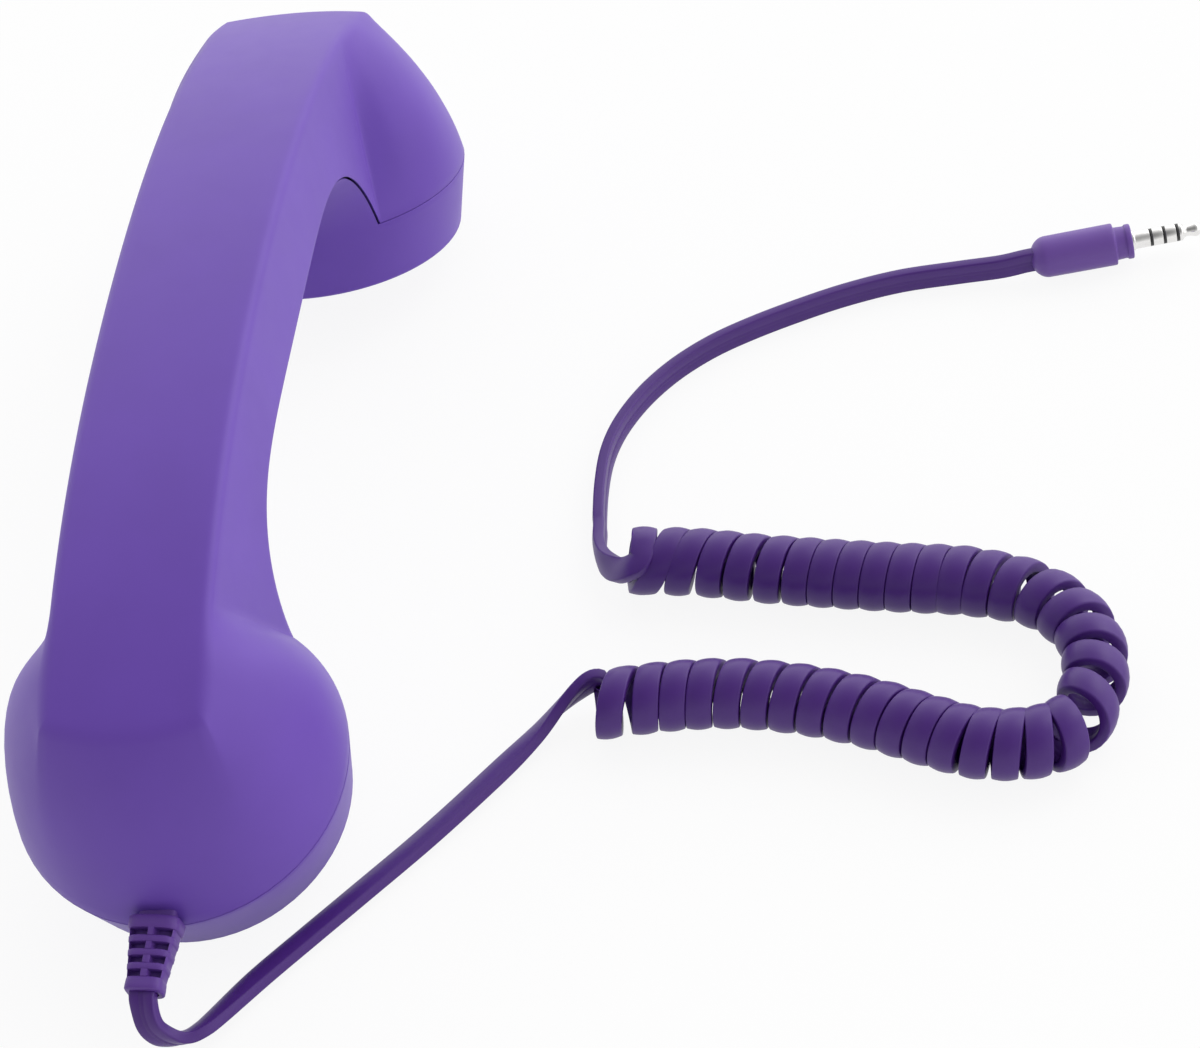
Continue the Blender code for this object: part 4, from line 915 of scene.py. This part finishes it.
def cord_path():
    """The whole cord's centreline, and which way its smooth face looks at each point."""
    mouth = RELIEF @ Vector((0, 0, RELIEF_LENGTH - CORD_INSIDE))
    leave = RELIEF @ Vector((0, 0, RELIEF_LENGTH + CORD_BEYOND))
    coil, coil_out = coil_points()
    first, _ = smooth_curve([mouth, leave] + HANDSET_ROUTE + [coil[0], coil[2]], CORD_STEP)
    first = first[: int(np.argmin(np.linalg.norm(first - coil[0], axis=1)))]
    rear = Vector(PLUG_START)
    way = Vector((math.cos(PLUG_ANGLE), math.sin(PLUG_ANGLE), 0)) * CORD_STRAIGHT
    route = [coil[-3], coil[-1]] + PLUG_ROUTE + [rear - way, rear + way * 2]
    last, _ = smooth_curve(route, CORD_STEP)
    last = last[int(np.argmin(np.linalg.norm(last - coil[-1], axis=1))) + 1 :]

    at = np.arange(len(first)) * CORD_STEP
    twist = LOWER_TWIST + [(at[-1] + back, degrees) for back, degrees in LOWER_TWIST_END]
    lower = turned_faces(first, eased(along_table(twist, at), LOWER_EASING))
    at = np.arange(len(last)) * CORD_STEP
    upper = turned_faces(last, eased(along_table(UPPER_TWIST, at), UPPER_EASING))
    return np.vstack([first, coil, last]), np.vstack([lower, coil_out, upper])


def strip_section():
    """(across, along the direction that the smooth face looks in), all round the strip."""
    half, low, r = CORD_WIDTH / 2, CORD_THICKNESS / 2, CORD_CORNER
    shoulder = low - CORD_CROWN
    flat = half - r

    def corner(x, y, start):
        turns = (math.radians(start + 90 * i / 3) for i in range(4))
        return [(x + r * math.cos(t), y + r * math.sin(t)) for t in turns]

    crown = [
        (flat * s, shoulder + CORD_CROWN * (1 - s * s)) for s in (0.8, 0.5, 0.2, -0.2, -0.5, -0.8)
    ]
    return (
        corner(flat, shoulder - r, 0)
        + crown
        + corner(-flat, shoulder - r, 90)
        + corner(-flat, r - low, 180)
        + [(x, y - low) for x, y in CORD_RIDGE]
        + corner(flat, r - low, 270)
    )


def make_cord():
    path, face = cord_path()
    tangent = unit(np.gradient(path, axis=0))
    face = unit(face - (face * tangent).sum(1)[:, None] * tangent)
    wide = np.cross(tangent, face)
    section = strip_section()
    grid = Grid()
    rows = [[p + w * x + f * y for x, y in section] for p, f, w in zip(path, face, wide)]
    grid.add(rows, closed=True)
    grid.cap(rows[0])
    grid.cap(rows[-1])
    replaced = ["cable_handset_side", "curly_cord", "cable_plug_side"]
    finish = SLOT_MATERIALS["cord"]
    return piece("cord_strip", grid.mesh("cord_strip"), finish, replaced=replaced), path


# The plug


def plug_frame():
    out = Vector((math.cos(PLUG_ANGLE), math.sin(PLUG_ANGLE), 0))
    across = Vector((0, 0, 1)).cross(out)
    turn = Matrix((across, out.cross(across), out)).transposed().to_4x4()
    return Matrix.Translation(PLUG_START) @ turn


def turned_piece(name, profile, finish, replaced, place, corner=JACK_CORNER):
    mesh = turned_mesh(name, round_corners(profile, corner), place)
    return piece(name, mesh, finish, replaced=[replaced])


def make_plug():
    place = plug_frame()
    neck = PLUG_LENGTH + PLUG_NECK
    # (radius, height) from the rounded rear end to the collar that the jack stands in
    turns = np.linspace(0, 1.5, 10)
    body = [(PLUG_RADIUS * math.sin(a), PLUG_REAR * (1 - math.cos(a))) for a in turns]
    body += [
        (PLUG_RADIUS, 0.0050),
        (PLUG_RADIUS + 0.00005, PLUG_LENGTH - 0.0016),
        (PLUG_RADIUS + 0.00005, PLUG_LENGTH),
        (0.00325, PLUG_LENGTH),
        (0.00315, neck - 0.0013),
        (0.00345, neck - 0.0011),
        (0.00345, neck),
        (0.00235, neck),
        (0.00220, neck - JACK_SEAT),
        (0, neck - JACK_SEAT),
    ]
    body = body[:9] + round_corners(body[9:], CORNER_ROUNDING)
    mesh = turned_mesh("plug_body", body, place)
    made = [piece("plug_body", mesh, PLUG_FINISH, replaced=["plug_moulding"])]

    radius = JACK_RADIUS
    chrome = SLOT_MATERIALS["metal"]
    start = neck - JACK_SEAT
    z = neck + JACK_SLEEVE
    sleeve = [
        (0, start),
        (0.0020, start),
        (0.0020, neck + 0.0004),
        (radius, neck + 0.0006),
        (radius, z),
        (0, z),
    ]
    made.append(turned_piece("sleeve_shell", sleeve, chrome, "jack_sleeve", place))
    bands = []
    for number in (2, 1):
        bands.append(z)
        z += JACK_BAND
        profile = [(0, z), (radius, z), (radius, z + JACK_RING), (0, z + JACK_RING)]
        name, replaced = f"ring_shell_{number}", f"jack_ring_{number}"
        made.append(turned_piece(name, profile, chrome, replaced, place))
        z += JACK_RING
    bands.append(z)
    z += JACK_BAND
    tip = [
        (0, z),
        (radius, z),
        (radius, z + 0.00055),
        (0.00130, z + 0.00095),
        (0.00105, z + 0.00150),
        (0.00115, z + 0.00230),
        (0.00142, z + 0.00310),
        (0.00140, z + 0.00360),
        (0.00105, z + 0.00415),
        (0.00050, z + 0.00442),
        (0, z + 0.00450),
    ]
    made.append(turned_piece("tip_shell", tip, chrome, "jack_tip", place, TIP_CORNER))
    grid = Grid()
    inset = radius - BAND_INSET
    for low in bands:
        profile = [(0, low), (inset, low), (inset, low + JACK_BAND), (0, low + JACK_BAND)]
        rows = []
        for i in range(TURNED_SIDES + 1):
            c, s = (f(2 * math.pi * i / TURNED_SIDES) for f in (math.cos, math.sin))
            rows.append([place @ Vector((r * c, r * s, h)) for r, h in profile])
        grid.add(rows)
    mesh = grid.mesh("insulator_bands")
    black = SLOT_MATERIALS["black_plastic"]
    made.append(piece("insulator_bands", mesh, black, replaced=["jack_insulator"]))
    return made


# Camera, light and floor

# The camera, as fitted to the photo's outlines
CAMERA_AZIMUTH, CAMERA_ELEVATION, CAMERA_ROLL = (math.radians(a) for a in (16.10, 44.18, -14.46))
CAMERA_TARGET = (0.070248, -0.024070, 0.020)
CAMERA_DISTANCE = 0.73574
CAMERA_LENS, CAMERA_SENSOR = 120, 36

KEY_AT, KEY_TARGET, KEY_SIZE, KEY_POWER = (0.9, 0.7, 1.1), (0.05, 0, 0.03), (0.9, 0.9), 4
FLOOR_SIZE, FLOOR_LEVEL = 4, -0.0002
# The share of the floor's look that is plain white, and the colour of the rest
FLOOR_GLOW, FLOOR_COLOUR = 0.9, (0.94, 0.94, 0.94, 1)
# The studio is dimmest in the direction WORLD_DIM
WORLD_DIM = (-0.18, -0.52, 0.80)
WORLD_FADE = {"From Min": -0.1, "From Max": 0.95, "To Min": 1.8, "To Max": 0.25}


def camera():
    data = bpy.data.cameras.new("camera")
    made = bpy.data.objects.new("camera", data)
    bpy.context.scene.collection.objects.link(made)
    azimuth, elevation, roll = CAMERA_AZIMUTH, CAMERA_ELEVATION, CAMERA_ROLL
    back = Vector(
        (
            math.sin(azimuth) * math.cos(elevation),
            -math.cos(azimuth) * math.cos(elevation),
            math.sin(elevation),
        )
    )
    right = (-back).cross(Vector((0, 0, 1))).normalized()
    up = right.cross(-back)
    x = right * math.cos(roll) + up * math.sin(roll)
    y = -right * math.sin(roll) + up * math.cos(roll)
    at = Vector(CAMERA_TARGET) + back * CAMERA_DISTANCE
    made.matrix_world = Matrix.Translation(at) @ Matrix((x, y, back)).transposed().to_4x4()
    data.lens = CAMERA_LENS
    data.sensor_width = CAMERA_SENSOR
    data.sensor_fit = "HORIZONTAL"
    data.clip_start = 0.01
    data.clip_end = 20
    bpy.context.scene.camera = made


def make_key():
    """One large soft light, high up beyond the ear end and on the cord's side."""
    data = bpy.data.lights.new("key", "AREA")
    data.shape = "RECTANGLE"
    data.size, data.size_y = KEY_SIZE
    data.energy = KEY_POWER
    made = bpy.data.objects.new("key", data)
    bpy.context.scene.collection.objects.link(made)
    made.location = KEY_AT
    made.rotation_euler = (Vector(KEY_TARGET) - Vector(KEY_AT)).to_track_quat("-Z", "Y").to_euler()


def make_floor():
    """A white table whose own shading shows only faintly, so that a soft shadow is left."""
    bm = bmesh.new()
    bmesh.ops.create_grid(bm, x_segments=1, y_segments=1, size=FLOOR_SIZE)
    mesh = bpy.data.meshes.new("floor")
    bm.to_mesh(mesh)
    bm.free()
    floor = bpy.data.objects.new("floor", mesh)
    floor.location = (0, 0, FLOOR_LEVEL)
    bpy.context.scene.collection.objects.link(floor)
    made, tree, shader = nodes_of("floor")
    shader.inputs["Base Color"].default_value = FLOOR_COLOUR
    shader.inputs["Roughness"].default_value = 0.9
    shader.inputs["Specular IOR Level"].default_value = 0.1
    path = node(tree, "ShaderNodeLightPath")
    seen = path.outputs["Is Camera Ray"]
    for other in ("Is Glossy Ray", "Is Transmission Ray"):
        either = node(tree, "ShaderNodeMath", operation="MAXIMUM")
        tree.links.new(seen, either.inputs[0])
        tree.links.new(path.outputs[other], either.inputs[1])
        seen = either.outputs[0]
    share = node(tree, "ShaderNodeMath", operation="MULTIPLY")
    share.inputs[1].default_value = FLOOR_GLOW
    tree.links.new(seen, share.inputs[0])
    white = node(tree, "ShaderNodeEmission", Strength=1.0)
    mix = node(tree, "ShaderNodeMixShader")
    tree.links.new(share.outputs[0], mix.inputs["Fac"])
    tree.links.new(shader.outputs[0], mix.inputs[1])
    tree.links.new(white.outputs[0], mix.inputs[2])
    tree.links.new(mix.outputs[0], tree.nodes["Material Output"].inputs["Surface"])
    mesh.materials.append(made)


def make_world():
    """A white studio, brightest low down and behind, and dimmer above the front."""
    world = bpy.data.worlds.new("studio")
    world.use_nodes = True
    tree = world.node_tree
    coordinates = node(tree, "ShaderNodeTexCoord")
    towards = node(tree, "ShaderNodeVectorMath", operation="DOT_PRODUCT")
    towards.inputs[1].default_value = WORLD_DIM
    tree.links.new(coordinates.outputs["Generated"], towards.inputs[0])
    fade = node(tree, "ShaderNodeMapRange", interpolation_type="LINEAR")
    for label, value in WORLD_FADE.items():
        fade.inputs[label].default_value = value
    tree.links.new(towards.outputs["Value"], fade.inputs["Value"])
    background = tree.nodes["Background"]
    background.inputs["Color"].default_value = (1, 1, 1, 1)
    tree.links.new(fade.outputs["Result"], background.inputs["Strength"])
    bpy.context.scene.world = world


def make_pieces():
    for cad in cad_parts.values():
        for i, slot in enumerate(cad.material_slots):
            label = slot.material.name.split(".")[0] if slot.material else ""
            if label in SLOT_MATERIALS:
                cad.material_slots[i].material = SLOT_MATERIALS[label]
    camera()
    cord, path = make_cord()
    boot = make_relief()
    plug = make_plug()
    make_back()
    make_front()
    make_cap("ear_plate", "ear_cap", EAR, 0.0048, 3)
    make_cap("mouth_plate", "mouth_cap", MOUTH, 0.0036, 2)
    make_button()


make_pieces()
make_floor()
make_world()
make_key()
bpy.context.scene.view_settings.view_transform = "Standard"
